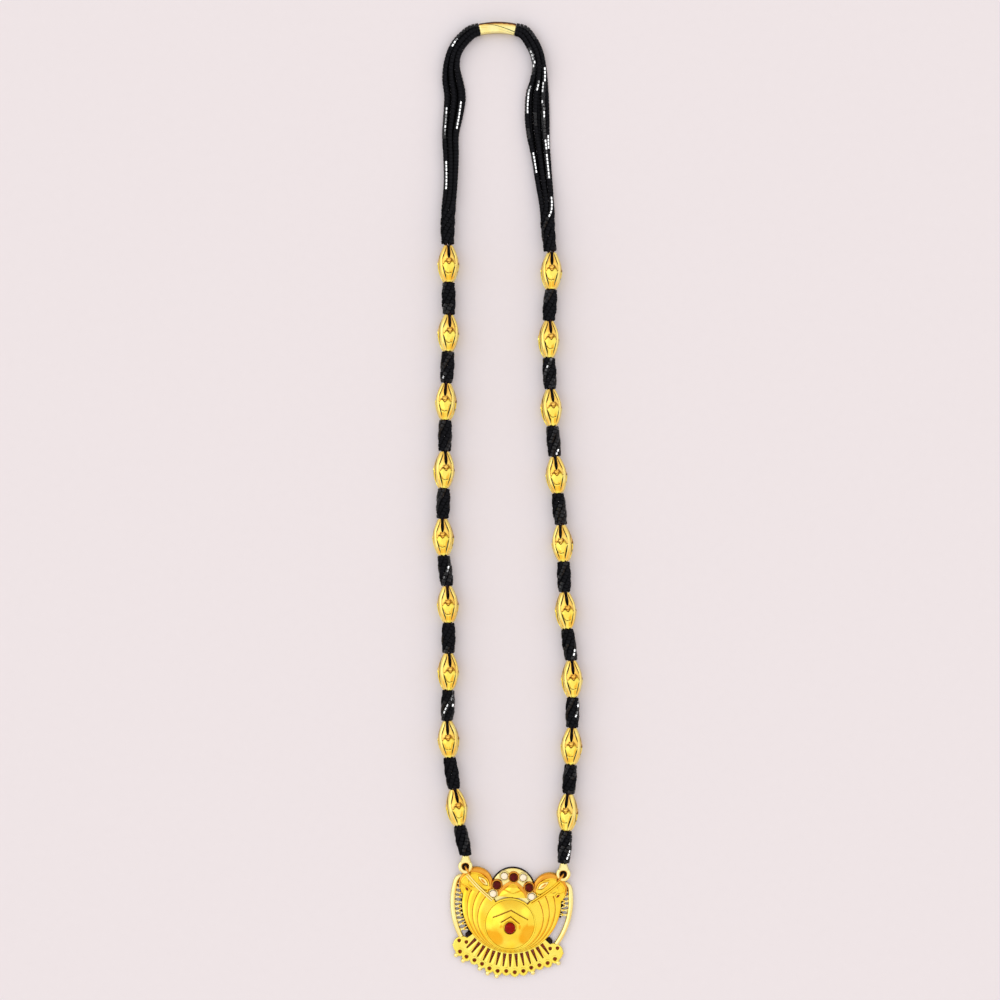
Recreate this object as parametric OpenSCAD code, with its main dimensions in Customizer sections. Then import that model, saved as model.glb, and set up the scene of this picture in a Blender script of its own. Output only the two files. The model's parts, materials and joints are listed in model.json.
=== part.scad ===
/* [Strings] */
// Width of the six twisted bead strings together
rope_w = 5.2; // [4.6:0.1:5.6]
// Length in which the twisted strings make one full turn
rope_pitch = 24; // [18:1:36]
// Width of the bare threads where they pass through a bore
thread_w = 2.0; // [1.4:0.1:2.1]
// How far the twisted strings sag between two gold beads
rope_sag = 0.5; // [0:0.1:0.8]

/* [Gold beads] */
// Length of a gold bead along the string
gold_bead_len = 13; // [11:0.5:14]
// Width of a gold bead
gold_bead_w = 7.4; // [6.6:0.1:7.8]
// Bore through a gold bead
gold_bead_bore = 2.4; // [2.2:0.1:2.6]

/* [Back sleeve] */
// Length of the gold sleeve at the back of the neck
sleeve_len = 12.8; // [11:0.2:15]
// Width of the sleeve
sleeve_w = 4.5; // [4.2:0.1:5]
// Thickness of the sleeve's wall
sleeve_wall = 0.4; // [0.3:0.05:0.5]
// Radius of the sleeve's bend
sleeve_bend = 31; // [28:1:40]

/* [Pendant] */
// Turn of the pendant as it lies, clockwise from above
pendant_turn = 4.5; // [0:0.5:8]
// Thickness of the back plate
plate_t = 1.0; // [0.8:0.1:1.2]
// Radius of the bowl's rim
bowl_r = 9.5; // [9:0.1:10]
// Height of the bowl's dome above its rim
bowl_rise = 2.9; // [2:0.1:3.4]
// Radius of the crescent's outer edge
crescent_r = 17.7; // [17.2:0.1:18]
// Radius of the crown's disc
crown_r = 7.7; // [7.4:0.1:8]
// Radius of each shoulder lobe
lobe_r = 6.1; // [5.8:0.1:6.3]
// Thickness of the round wire along each side
side_wire_w = 1.7; // [1.4:0.1:1.9]
// Number of slots in the comb below the crescent
comb_slots = 14; // [10:2:16]
// Thickness of the comb
comb_t = 1.2; // [1:0.1:1.5]

/* [Stones and rings] */
// Width of the red stone on the bowl
centre_stone_w = 4.1; // [3.6:0.1:4.4]
// Width of the three red stones on the crown
red_stone_w = 2.9; // [2.5:0.1:3]
// Width of the four pale stones on the crown
pale_stone_w = 2.5; // [2.2:0.1:2.6]
// Clearance between a stone and its setting
stone_gap = 0.1; // [0.08:0.01:0.12]
// Outer width of an end ring
end_ring_w = 5.2; // [5:0.1:5.4]
// Thickness of the ring's round section
end_ring_t = 1.5; // [1.3:0.1:1.5]

/* [Hidden] */
BEADS = 9;

GOLD = "#F2B829";
PALE_GOLD = "#F6E08A";
BLACK = "#0B0B0D";
RED = "#8E0B00";
DARK_RED = "#5A0D08";
CREAM = "#FFF4DC";

// Where the pendant's bowl lies. The loop's middle is the origin.
PENDANT_AT = [0.9, -152.4];
// Middle of the sleeve at the back of the neck
SLEEVE_AT = [-3.6, 169.4];

// Upper run of each bundle, from the sleeve down to the first gold bead.
// Columns: x, y, width, depth, turn of the twist
LEFT_RUN = [
    [-11.1, 168.45, 4.2, 4.0, 0],
    [-13.8, 167.2, 4.8, 3.9, 0],
    [-17.0, 164.1, 5.1, 3.8, 0],
    [-19.2, 160.3, 5.2, 3.8, 0],
    [-20.1, 155.6, 6.0, 3.5, 0],
    [-19.8, 150.8, 7.4, 3.1, 0],
    [-18.9, 145.0, 7.8, 3.0, 0],
    [-19.5, 138.4, 7.2, 3.2, 0],
    [-20.5, 131.0, 6.1, 3.6, 0],
    [-20.3, 122.4, 5.6, 3.8, 0],
    [-20.5, 113.0, 5.0, 4.0, 0],
    [-21.2, 104.0, 5.2, 4.6, 30],
    [-21.5, 97.5, 5.3, 5.1, 125],
    [-21.4, 91.6, 4.7, 4.7, 215]];
RIGHT_RUN = [
    [3.9, 168.45, 4.2, 4.0, 0],
    [6.2, 167.3, 4.8, 3.9, 0],
    [8.6, 164.2, 5.0, 3.8, 0],
    [10.5, 160.2, 4.9, 3.9, 0],
    [11.4, 155.4, 5.2, 3.8, 0],
    [11.3, 150.2, 6.6, 3.3, 0],
    [10.7, 145.4, 8.4, 3.0, 0],
    [10.6, 139.2, 9.0, 2.9, 0],
    [10.9, 132.2, 8.6, 3.0, 0],
    [11.9, 124.0, 7.2, 3.3, 0],
    [13.0, 114.6, 6.4, 3.6, 0],
    [14.2, 104.4, 5.4, 4.4, 20],
    [14.5, 96.8, 5.3, 5.1, 120],
    [15.3, 89.1, 4.7, 4.7, 225]];

// Middle of each gold bead, from the neck down. Columns: x, y
LEFT_BEADS = [
    [-21.2, 84.4], [-21.2, 59.6], [-22.1, 35.1], [-22.7, 10.6], [-23.1, -13.5],
    [-21.4, -37.6], [-21.2, -61.7], [-21.2, -85.9], [-18.2, -110.3]];
RIGHT_BEADS = [
    [15.7, 81.9], [14.8, 57.4], [15.7, 32.9], [17.5, 8.8], [19.6, -15.7],
    [20.9, -39.8], [23.1, -64.3], [22.9, -88.4], [21.4, -112.1]];

// A gold bead's form from its lower end to its upper end. Columns: place along the half length,
// fin radius, panel radius, seam radius as shares of the bead's radius, seam's angle from the panel
BEAD_ROWS = [
    [-1.00, 0.46, 0.43, 0.42, 8],
    [-0.84, 0.66, 0.63, 0.56, 11],
    [-0.54, 0.87, 0.87, 0.76, 20],
    [-0.20, 0.98, 1.00, 0.88, 34],
    [0.10, 1.00, 1.02, 0.90, 39],
    [0.36, 0.94, 0.94, 0.84, 39],
    [0.44, 0.91, 0.26, 0.82, 38],
    [0.70, 0.74, 0.26, 0.66, 24],
    [0.90, 0.55, 0.26, 0.50, 11],
    [1.00, 0.46, 0.43, 0.42, 8]];

// Petal tips of the comb on each side of its middle. Columns: angle, radius of the tip's middle
TIP_ROWS = [
    [0, 24.3], [7.2, 24.7], [14.4, 24.6], [21.6, 24.1], [28.8, 24.3], [35.8, 25.0], [42.6, 25.3]];

STRINGS = 6;
sides = 2 * STRINGS;
groove = 0.86;
run_steps = 2;
section_steps = 6;
end_gap = 0.35;
bead_r = gold_bead_w / 2;
rope_end_share = 0.86;
thread_gap = 0.15;

// The crescent's ridges are discs that all touch near the comb and drift upward as they widen.
crescent_y = 7.1;
crescent_ridges = 4;
ridge_top = [1.9, 2.3, 2.7, 3.1];
horn_top = 12.4;
field_at = [12.5, 20.4];
field_r = 9.3;
crown_y = 12.2;
lobe_at = [13.3, 13.3];
rim_z = 2.7;
rim_w = 1.1;
comb_reach = 24.3;
comb_half_angle = 48;
tip_r = 1.65;
tip_hole_r = 0.6;
granule_r = 0.5;
slot_pitch = 6.3;
slot_from = 18.1;
slot_to = 22.6;
wire_arc = [-5.4, 8.0];
wire_arc_r = 26.6;
wire_foot = -32;
wire_top = 12;
wire_hook_r = 3.2;
wire_z = side_wire_w / 2 + 0.1;
tooth_pitch = 3;
tooth_w = 0.8;
tooth_t = 0.7;
tooth_reach = 4.4;
ring_at = [17.6, 19.6];
ring_z = 4.05;
ring_mid = (end_ring_w - end_ring_t) / 2;
ring_neck = 3.9;
ring_neck_x = 0.1;
ring_neck_w = [4.0, 2.3];
ring_neck_t = 2.4;
neck_bore = 1.4;
neck_gap = 0.2;
strand_end_w = 4.2;
neck_depth = 1.8;
ear_w = 0.9;
red_at = [[-5.8, 13.7], [0, 16.9], [5.8, 13.7]];
pale_at = [[-6.9, 10.5], [-3.4, 17.1], [3.4, 17.1], [6.9, 10.5]];
crown_seat_z = 2.5;
centre_at = [0, -0.7];
centre_seat_z = rim_z + bowl_rise + 0.2;
collet_wall = 0.35;
stone_foot = 0.26;
cut_over = 0.5;

// The leaf of the crown is where two arcs cross, over a wider and lower band of the same form.
arch_at = [3.36, 6.6];
leaf_arc_r = 9;
band_arc_r = 9.75;
band_z = 2.5;
leaf_z = 3.5;
crown_z = 1.7;

// A shoulder lobe: its disc, raised field, rolled edge and strap
lobe_z = 1.6;
field_z = 2.7;
roll_w = 1.7;
roll_z = 2.3;
roll_from = -8;
roll_turn = 196;
strap_from = [16.4, 16.4, 2.7];
strap_to = [9.0, 11.1, 2.6];
strap_r = 0.6;
// Leaves of the right lobe. Columns: x, y, turn, length, width
RAISED_LEAF = [10.8, 14.8, 38, 4.6, 2.3];
SUNK_LEAF = [15.1, 13.3, 42, 3.4, 1.7];
OPEN_LEAF = [16.4, 11.4, 45, 2.4, 1.3];
raised_leaf_z = 3.3;
sunk_leaf_z = 1.4;

// The loop of an ear stands on a lug and arches over the end ring.
ear_loop_r = 1.65;
lug_r = 2.2;
// Two pierced discs close the comb's ends. Columns as in TIP_ROWS
END_DISC = [45.4, 23.2];
END_HOLES = [[45.2, 21.3], [50.4, 23.0]];
END_GRANULE = [50.2, 24.2];
end_disc_r = 3.3;
left_teeth = 11;
right_teeth = 6;

function mix(a, b, t) = a + (b - a) * t;
function last(list) = list[len(list) - 1];
function heading(a, b) = atan2(b.y - a.y, b.x - a.x);
function toward(angle, length) = [length * cos(angle), length * sin(angle)];
// Turn a point of the pendant's own frame into the loop's frame
function laid(p) = PENDANT_AT + [
    p.x * cos(pendant_turn) + p.y * sin(pendant_turn),
    p.y * cos(pendant_turn) - p.x * sin(pendant_turn)];
// A smooth curve through four rows of numbers
function curve(a, b, c, d, t) = 0.5 * (2 * b + (c - a) * t
    + (2 * a - 5 * b + 4 * c - d) * t * t + (3 * b - a - 3 * c + d) * t * t * t);
function row(rows, i) = rows[max(0, min(len(rows) - 1, i))];
function smooth(rows, steps) = concat(
    [for (i = [0 : len(rows) - 2]) for (k = [0 : steps - 1])
        curve(row(rows, i - 1), rows[i], rows[i + 1], row(rows, i + 2), k / steps)],
    [last(rows)]);

// A station is [place, heading, half width, half depth, turn].
function station(x, y, z, angle, half_w, half_d, turn = 0) = [[x, y, z], angle, half_w, half_d, turn];

// The point where a string enters its end ring
function neck_top(side) = laid([side * ring_at.x, ring_at.y]) + [ring_neck_x, ring_neck];
function beads(side) = side < 0 ? LEFT_BEADS : RIGHT_BEADS;
function run(side) = side < 0 ? LEFT_RUN : RIGHT_RUN;
function before(side, i) = i == 0 ? last(run(side)) : beads(side)[i - 1];
function after(side, i) = i == BEADS - 1 ? neck_top(side) : beads(side)[i + 1];
function bead_heading(side, i) = heading(before(side, i), after(side, i));
// A point on a bead's axis, a given way down the string from its middle
function on_axis(side, i, way) = beads(side)[i] + toward(bead_heading(side, i), way);

// Where the stretch after a bead starts and ends, and its twist
function stretch_from(side, i) = on_axis(side, i, gold_bead_len / 2 + end_gap);
function stretch_to(side, i) = i == BEADS - 1
    ? neck_top(side) + [0, neck_gap]
    : on_axis(side, i + 1, -gold_bead_len / 2 - end_gap);
function twist(side, i) = 360 * norm(stretch_to(side, i) - stretch_from(side, i)) / rope_pitch;
// Turn of the strings when they reach a bead, and the end ring after the last one
function turn_at(side, i) = i == 0 ? last(run(side))[4] : turn_at(side, i - 1) + twist(side, i - 1);

// Stations of the twisted stretch after a bead, with the heading, height and width at its end
function stretch(side, i, angle_b, z_b, end_w) = let (
    a = stretch_from(side, i),
    b = stretch_to(side, i)) [
    for (k = [0 : section_steps]) let (
        t = k / section_steps,
        p = mix(a, b, t),
        swell = sin(180 * t),
        narrow = mix(rope_w * rope_end_share, end_w, t),
        half = mix(narrow, rope_w, swell) / 2,
        z = mix(bead_r, z_b, t) - rope_sag * swell)
    station(p.x, p.y, z, mix(bead_heading(side, i), angle_b, t), half, min(half, z - 0.1),
        turn_at(side, i) + t * twist(side, i))];

function through_bead(side, i) = [
    for (way = [-1, 1]) let (p = on_axis(side, i, way * (gold_bead_len / 2 + end_gap)))
    station(p.x, p.y, bead_r, bead_heading(side, i), thread_w / 2, thread_w / 2, turn_at(side, i))];

function run_stations(side) = let (rows = smooth(run(side), run_steps), n = len(rows)) [
    for (i = [0 : n - 1]) let (
        r = rows[i],
        angle = heading(row(rows, i - 1), row(rows, i + 1)),
        lift = pow(max(0, (i - n + 8) / 7), 2))
    station(r[0], r[1], mix(r[3] / 2, bead_r, lift), angle, r[2] / 2, r[3] / 2, r[4])];

// Bare threads inside the sleeve, from its middle to the bundle's start
function sleeve_stations(side) = [
    for (share = [0.01, 0.34, 0.67, 1]) let (
        angle = 90 - side * share * 90 * sleeve_len / sleeve_bend / PI,
        p = SLEEVE_AT + [0, -sleeve_bend] + toward(angle, sleeve_bend))
    station(p.x, p.y, sleeve_w / 2, angle - side * 90, sleeve_w / 2 - sleeve_wall - thread_gap,
        sleeve_w / 2 - sleeve_wall - thread_gap)];

function sections(side) = [
    for (i = [0 : BEADS - 1]) each concat(
        through_bead(side, i),
        i < BEADS - 1
            ? stretch(side, i, bead_heading(side, i + 1), bead_r, rope_w * rope_end_share)
            : stretch(side, i, -90, ring_z, strand_end_w))];

function neck_stations(side) = [
    for (way = [neck_gap, neck_gap - neck_depth]) let (p = neck_top(side) + [0, way])
    station(p.x, p.y, ring_z, -90, neck_bore / 2 - thread_gap, neck_bore / 2 - thread_gap,
        turn_at(side, BEADS))];

function stations(side) = concat(
    sleeve_stations(side), run_stations(side), sections(side), neck_stations(side));

// The corners of the bundle at one station: a ridge for each string and a groove between
function ring_points(s) = [
    for (k = [0 : sides - 1]) let (
        a = s[4] + k * 360 / sides,
        share = k % 2 == 0 ? 1 : groove)
    s[0] + share * [-sin(s[1]) * s[2] * cos(a), cos(s[1]) * s[2] * cos(a), s[3] * sin(a)]];

// Faces of a closed tube of rings, each with the same number of corners
function tube_faces(rings, corners) = concat(
    [[for (k = [0 : corners - 1]) k]],
    [for (i = [0 : rings - 2]) for (k = [0 : corners - 1]) let (
        a = i * corners + k,
        b = i * corners + (k + 1) % corners)
        each [[a, a + corners, b + corners], [a, b + corners, b]]],
    [[for (k = [corners - 1 : -1 : 0]) (rings - 1) * corners + k]]);

module strand(side) {
    rings = stations(side);
    color(BLACK)
        polyhedron([for (s = rings) each ring_points(s)], tube_faces(len(rings), sides), convexity = 10);
}

// Three fins with a panel between each pair. The panels stop short of the upper end,
// where an open notch shows the threads.
module gold_bead(side, i) {
    panels = 3;
    share = 360 / panels;
    edge = 9;
    points = [
        for (r = BEAD_ROWS) each [
            for (panel = [0 : panels - 1]) each [
                for (c = [[0, r[2]], [r[4], r[3]], [r[4] + edge, r[1]], [share / 2, r[1]],
                        [share - r[4] - edge, r[1]], [share - r[4], r[3]]])
                [bead_r * c[1] * -cos(c[0] + panel * share),
                    bead_r * c[1] * -sin(c[0] + panel * share), r[0] * gold_bead_len / 2]]]];
    p = beads(side)[i];
    color(GOLD)
        translate([p.x, p.y, bead_r])
        rotate([0, 90, bead_heading(side, i) + 180])
        difference() {
            polyhedron(points, tube_faces(len(BEAD_ROWS), 6 * panels), convexity = 6);
            cylinder(h = gold_bead_len + 2, d = gold_bead_bore, center = true, $fn = 48);
        }
}

module back_sleeve() {
    turn = 180 * sleeve_len / sleeve_bend / PI;
    color(PALE_GOLD)
        translate([SLEEVE_AT.x, SLEEVE_AT.y - sleeve_bend, sleeve_w / 2])
        rotate([0, 0, 90 - turn / 2])
        rotate_extrude(angle = turn, $fn = 180)
        translate([sleeve_bend, 0])
        difference() {
            circle(d = sleeve_w, $fn = 48);
            circle(d = sleeve_w - 2 * sleeve_wall, $fn = 48);
        }
}

// A teardrop ring: a round ring that lies flat and narrows to a drilled neck for the threads
module end_ring(side) {
    p = laid([side * ring_at.x, ring_at.y]);
    color(PALE_GOLD)
        translate([p.x, p.y, ring_z])
        difference() {
            union() {
                rotate_extrude($fn = 64)
                    translate([ring_mid, 0])
                    circle(d = end_ring_t, $fn = 32);
                intersection() {
                    translate([ring_neck_x, ring_mid - 0.2, 0])
                        rotate([-90, 0, 0])
                        cylinder(h = ring_neck - ring_mid + 0.2,
                            d1 = ring_neck_w[0], d2 = ring_neck_w[1], $fn = 48);
                    translate([-end_ring_w / 2, 0, -ring_neck_t / 2])
                        cube([end_ring_w, ring_neck, ring_neck_t]);
                }
            }
            translate([ring_neck_x, ring_neck - neck_depth, 0])
                rotate([-90, 0, 0])
                cylinder(h = neck_depth + cut_over, d = neck_bore, $fn = 32);
            cylinder(h = 5, r = ring_mid - end_ring_t / 2, center = true, $fn = 48);
        }
}

// A round stone with a table, eight star facets, sixteen crown facets and a pointed base
module cut_stone(w) {
    facets = 8;
    ring = function(r, z, shift) [
        for (k = [0 : facets - 1]) let (a = (k + shift) * 360 / facets) [r * cos(a), r * sin(a), z]];
    points = concat(
        ring(w * 0.29, w * 0.20, 0.5), ring(w * 0.42, w * 0.12, 0), ring(w * 0.5, w * 0.03, 0.5),
        ring(w * 0.5, -w * 0.02, 0.5), ring(w * 0.28, -w * 0.17, 0), ring(w * 0.06, -w * stone_foot, 0.5));
    hull() polyhedron(points, tube_faces(6, facets));
}

module centre_stone() {
    color(RED)
        on_pendant(centre_at, centre_seat_z + centre_stone_w * stone_foot + stone_gap)
        cut_stone(centre_stone_w);
}

module red_stone(i) {
    color(DARK_RED)
        on_pendant(red_at[i], crown_seat_z + red_stone_w * stone_foot + stone_gap)
        cut_stone(red_stone_w);
}

module pale_stone(i) {
    color(CREAM)
        on_pendant(pale_at[i], crown_seat_z + pale_stone_w * stone_foot + stone_gap)
        cut_stone(pale_stone_w);
}

module on_pendant(p, z = 0) {
    translate([PENDANT_AT.x, PENDANT_AT.y, 0])
        rotate([0, 0, -pendant_turn])
        translate([p.x, p.y, z])
        children();
}

module both_sides() {
    children();
    mirror([1, 0, 0]) children();
}

// A cup that holds a stone by its girdle
module collet(p, w, seat) {
    rim = seat + w * 0.30;
    inner = w / 2 + stone_gap;
    translate([p.x, p.y, 0])
        difference() {
            cylinder(h = rim, r1 = inner + collet_wall + 0.25, r2 = inner + collet_wall, $fn = 48);
            translate([0, 0, seat])
                cylinder(h = w, r = inner, $fn = 48);
        }
}

function ridge_share(k) = 1 - k * 0.24;
function ridge_y(k) = crescent_y * ridge_share(k);
function ridge_r(k) = mix(bowl_r + 0.5, crescent_r, ridge_share(k));

module crescent() {
    difference() {
        for (k = [0 : crescent_ridges - 1]) {
            translate([0, ridge_y(k), 0])
                cylinder(h = ridge_top[k], r1 = ridge_r(k), r2 = ridge_r(k) - 0.45, $fn = 128);
        }
        both_sides()
            translate([field_at.x, field_at.y, 2.0])
            cylinder(h = 5, r = field_r - 0.15, $fn = 96);
        translate([-crescent_r - 1, horn_top + 2.5, -1])
            cube([2 * crescent_r + 2, crescent_r, 5]);
        translate([0, crown_y, plate_t])
            cylinder(h = 5, r = crown_r + 0.2, $fn = 96);
        for (p = pale_at) {
            translate([p.x, p.y, crown_seat_z - stone_gap])
                cylinder(h = 5, r = pale_stone_w / 2 + stone_gap + collet_wall / 2, $fn = 48);
        }
    }
}

module bowl() {
    sphere_r = (pow(bowl_r - 0.5, 2) + pow(bowl_rise, 2)) / (2 * bowl_rise);
    intersection() {
        translate([0, 0, rim_z + bowl_rise - sphere_r])
            sphere(r = sphere_r, $fn = 128);
        cylinder(h = rim_z + bowl_rise + 1, r = bowl_r - 0.5, $fn = 96);
    }
    difference() {
        cylinder(h = rim_z, r = bowl_r, $fn = 96);
        translate([0, 0, -1])
            cylinder(h = rim_z + 2, r = bowl_r - 1.5, $fn = 96);
    }
    translate([0, 0, rim_z])
        rotate_extrude($fn = 128)
        translate([bowl_r - rim_w / 2, 0])
        circle(d = rim_w, $fn = 24);
    collet(centre_at, centre_stone_w, centre_seat_z);
}

// A pointed leaf between two heights: where two discs cross
module leaf(form, z_from, z_to) {
    length = form[3];
    width = form[4];
    r = (length * length + width * width) / (4 * width);
    translate([form[0], form[1], z_from])
        rotate([0, 0, form[2]])
        intersection() {
            translate([0, r - width / 2, 0])
                cylinder(h = z_to - z_from, r = r, $fn = 96);
            translate([0, width / 2 - r, 0])
                cylinder(h = z_to - z_from, r = r, $fn = 96);
        }
}

module crown() {
    translate([0, crown_y, 0])
        cylinder(h = crown_z, r = crown_r, $fn = 96);
    ogive(band_arc_r, band_z);
    intersection() {
        ogive(leaf_arc_r, 2 * leaf_z);
        translate([0, crown_y - 0.8, leaf_z - leaf_arc_r])
            sphere(r = leaf_arc_r, $fn = 96);
    }
    for (p = red_at) collet(p, red_stone_w, crown_seat_z);
    for (p = pale_at) collet(p, pale_stone_w, crown_seat_z);
}

// A pointed arch that stands on the bowl's rim: the leaf of the crown
module ogive(r, height) {
    intersection() {
        translate([-arch_at.x, arch_at.y, 0])
            cylinder(h = height, r = r, $fn = 96);
        translate([arch_at.x, arch_at.y, 0])
            cylinder(h = height, r = r, $fn = 96);
        translate([-crown_r, bowl_r + 0.15, 0])
            cube([2 * crown_r, crown_r, height]);
    }
}

// One shoulder lobe on the right: a disc with a rolled edge, a strap, two leaves and two holes
module shoulder() {
    difference() {
        union() {
            translate([lobe_at.x, lobe_at.y, 0])
                cylinder(h = lobe_z, r = lobe_r, $fn = 96);
            intersection() {
                translate([lobe_at.x, lobe_at.y, 0])
                    cylinder(h = field_z, r = lobe_r - 0.3, $fn = 96);
                translate([field_at.x, field_at.y, 0])
                    cylinder(h = field_z + 1, r = field_r, $fn = 96);
            }
            translate([lobe_at.x, lobe_at.y, roll_z])
                rotate([0, 0, roll_from])
                rotate_extrude(angle = roll_turn, $fn = 128)
                translate([lobe_r - roll_w / 2, 0])
                circle(d = roll_w, $fn = 24);
        }
        leaf(SUNK_LEAF, sunk_leaf_z, field_z + 2);
        leaf(OPEN_LEAF, -1, field_z + 2);
    }
    leaf(RAISED_LEAF, 0, raised_leaf_z);
    bar(strap_from, strap_to, strap_r);
}

// A straight round bar between two points, whose ends are sunk into what it joins
module bar(a, b, r) {
    d = b - a;
    translate(a)
        rotate([0, acos(d.z / norm(d)), atan2(d.y, d.x)])
        cylinder(h = norm(d), r = r, $fn = 24);
}

// The wire from the shoulder down to the comb on the right side
module side_wire() {
    translate([wire_arc.x, wire_arc.y, wire_z])
        rotate([0, 0, wire_foot])
        rotate_extrude(angle = wire_top - wire_foot, $fn = 180)
        translate([wire_arc_r, 0])
        circle(d = side_wire_w, $fn = 24);
    top = [wire_arc.x, wire_arc.y] + toward(wire_top, wire_arc_r);
    hook = top - toward(wire_top, wire_hook_r);
    translate([top.x, top.y, wire_z])
        sphere(r = side_wire_w / 2 + 0.1, $fn = 32);
    translate([hook.x, hook.y, wire_z])
        rotate([0, 0, wire_top])
        rotate_extrude(angle = 78, $fn = 96)
        translate([wire_hook_r, 0])
        circle(d = side_wire_w - 0.1, $fn = 24);
}

// Small flat teeth that bridge the gap between the wire and the crescent
module wire_teeth(count) {
    for (k = [0 : count - 1]) {
        translate([wire_arc.x, wire_arc.y, wire_z - tooth_t / 2])
            rotate([0, 0, 8.5 - k * tooth_pitch])
            translate([wire_arc_r, 0, 0])
            rotate([0, 0, k % 2 == 0 ? 3 : -3])
            linear_extrude(height = tooth_t)
            polygon([[0, -tooth_w / 2], [0, tooth_w / 2], [-tooth_reach, 0.2], [-tooth_reach, -0.2]]);
    }
}

// A lug under the end ring, and the loop on two posts that passes up through the ring
module ear() {
    to_lobe = heading(ring_at, lobe_at);
    translate([ring_at.x, ring_at.y, 0])
        cylinder(h = plate_t, r = lug_r, $fn = 48);
    translate([ring_at.x, ring_at.y, 0])
        rotate([0, 0, to_lobe]) {
            translate([ear_loop_r, 0, ring_z])
                rotate([90, 0, 0])
                rotate_extrude(angle = 180, $fn = 64)
                translate([ear_loop_r, 0])
                circle(d = ear_w, $fn = 24);
            cylinder(h = ring_z, d = ear_w, $fn = 24);
            translate([2 * ear_loop_r, 0, 0])
                cylinder(h = ring_z, d = ear_w, $fn = 24);
            translate([lug_r / 2, -lug_r / 2 - 0.3, 0])
                cube([lug_r, lug_r + 0.6, plate_t]);
        }
}

// The pierced comb that fans out below the crescent
module comb() {
    linear_extrude(height = comb_t)
        difference() {
            union() {
                comb_fan();
                for (t = TIP_ROWS) tips(t) circle(r = tip_r, $fn = 32);
                tips(END_DISC) circle(r = end_disc_r, $fn = 64);
            }
            for (k = [0 : comb_slots - 1]) {
                translate([0, crescent_y])
                    rotate(-90 + (k - (comb_slots - 1) / 2) * slot_pitch)
                    polygon([[slot_from, -0.55], [slot_to, -0.22], [slot_to, 0.22], [slot_from, 0.55]]);
            }
            for (t = concat(TIP_ROWS, END_HOLES)) tips(t) circle(r = tip_hole_r, $fn = 24);
        }
    for (t = concat(TIP_ROWS, [END_GRANULE])) tips([t[0], t[1] + tip_r])
        translate([0, 0, granule_r + 0.1])
        sphere(r = granule_r, $fn = 24);
}

// The fan between the crescent and the petal tips
module comb_fan() {
    reach = 2 * comb_reach;
    translate([0, crescent_y])
        intersection() {
            difference() {
                circle(r = comb_reach, $fn = 180);
                circle(r = crescent_r - 1.2, $fn = 180);
            }
            polygon([[0, 0], reach * [-sin(comb_half_angle), -cos(comb_half_angle)],
                [0, -reach], reach * [sin(comb_half_angle), -cos(comb_half_angle)]]);
        }
}

// Set something at a petal tip on both sides, or once where the tip is in the middle
module tips(t) {
    for (side = t[0] == 0 ? [1] : [-1, 1]) {
        translate([0, crescent_y])
            rotate(side * t[0])
            translate([0, -t[1]])
            children();
    }
}

module pendant() {
    color(GOLD)
        on_pendant([0, 0]) {
            crescent();
            bowl();
            crown();
            both_sides() shoulder();
            both_sides() side_wire();
            wire_teeth(right_teeth);
            mirror([1, 0, 0]) wire_teeth(left_teeth);
            both_sides() ear();
            comb();
        }
}

pendant();
centre_stone();
end_ring(-1);  // left_end_ring
end_ring(1);  // right_end_ring
strand(-1);  // left_strand
strand(1);  // right_strand
back_sleeve();
for (i = [0 : 2]) {
    red_stone(i);
}
for (i = [1 : 4]) {
    pale_stone(i - 1);
}
for (i = [1 : BEADS]) {
    gold_bead(-1, i - 1);
    gold_bead(1, i - 1);
}
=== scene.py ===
"""The looks of a long mangalsutra: black bead strings, slotted gold beads and a gold pendant.

Everything is laid out in millimetres in the part's own frame and turned to metres when a mesh is made.
"""

import json
import logging
import math
import random
from dataclasses import dataclass, field
from enum import Enum
from typing import Callable, Iterable, Sequence

import bpy
import numpy as np
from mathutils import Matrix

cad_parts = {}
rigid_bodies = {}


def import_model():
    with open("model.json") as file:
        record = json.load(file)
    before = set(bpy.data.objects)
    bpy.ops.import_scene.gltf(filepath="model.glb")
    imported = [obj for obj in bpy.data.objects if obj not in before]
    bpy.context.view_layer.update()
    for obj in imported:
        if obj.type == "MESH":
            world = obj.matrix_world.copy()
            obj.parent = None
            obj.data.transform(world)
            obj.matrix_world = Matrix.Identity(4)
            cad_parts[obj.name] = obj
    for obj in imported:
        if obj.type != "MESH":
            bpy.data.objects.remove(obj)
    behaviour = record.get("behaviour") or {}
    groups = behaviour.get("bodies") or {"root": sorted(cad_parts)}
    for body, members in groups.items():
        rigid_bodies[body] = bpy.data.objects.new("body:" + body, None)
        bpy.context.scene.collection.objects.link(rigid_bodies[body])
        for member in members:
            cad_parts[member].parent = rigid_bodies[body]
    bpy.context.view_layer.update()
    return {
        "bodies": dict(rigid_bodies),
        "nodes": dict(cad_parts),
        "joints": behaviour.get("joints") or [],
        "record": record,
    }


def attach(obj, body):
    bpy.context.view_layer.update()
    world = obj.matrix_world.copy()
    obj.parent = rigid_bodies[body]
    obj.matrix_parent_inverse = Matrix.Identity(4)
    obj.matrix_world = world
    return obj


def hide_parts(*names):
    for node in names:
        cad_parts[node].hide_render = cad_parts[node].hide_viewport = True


LOG = logging.getLogger("mangalsutra")
MM = 0.001
BODY = "root"

Material = bpy.types.Material
Pair = tuple[float, float]
Triple = tuple[float, float, float]


class Slot(Enum):
    """The record's material slots."""

    GOLD = "gold"
    PALE_GOLD = "pale_gold"
    BLACK = "black_beads"


class Side(Enum):
    """The two sides of the loop as it lies, seen from above."""

    LEFT = -1
    RIGHT = 1

    @property
    def word(self) -> str:
        """The side's word in node names."""
        return self.name.lower()


# Where the pendant's bowl and the sleeve's middle lie
PENDANT_AT = (0.9, -152.4)
PENDANT_TURN = 4.5
SLEEVE_AT = (-3.6, 169.4)

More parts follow.
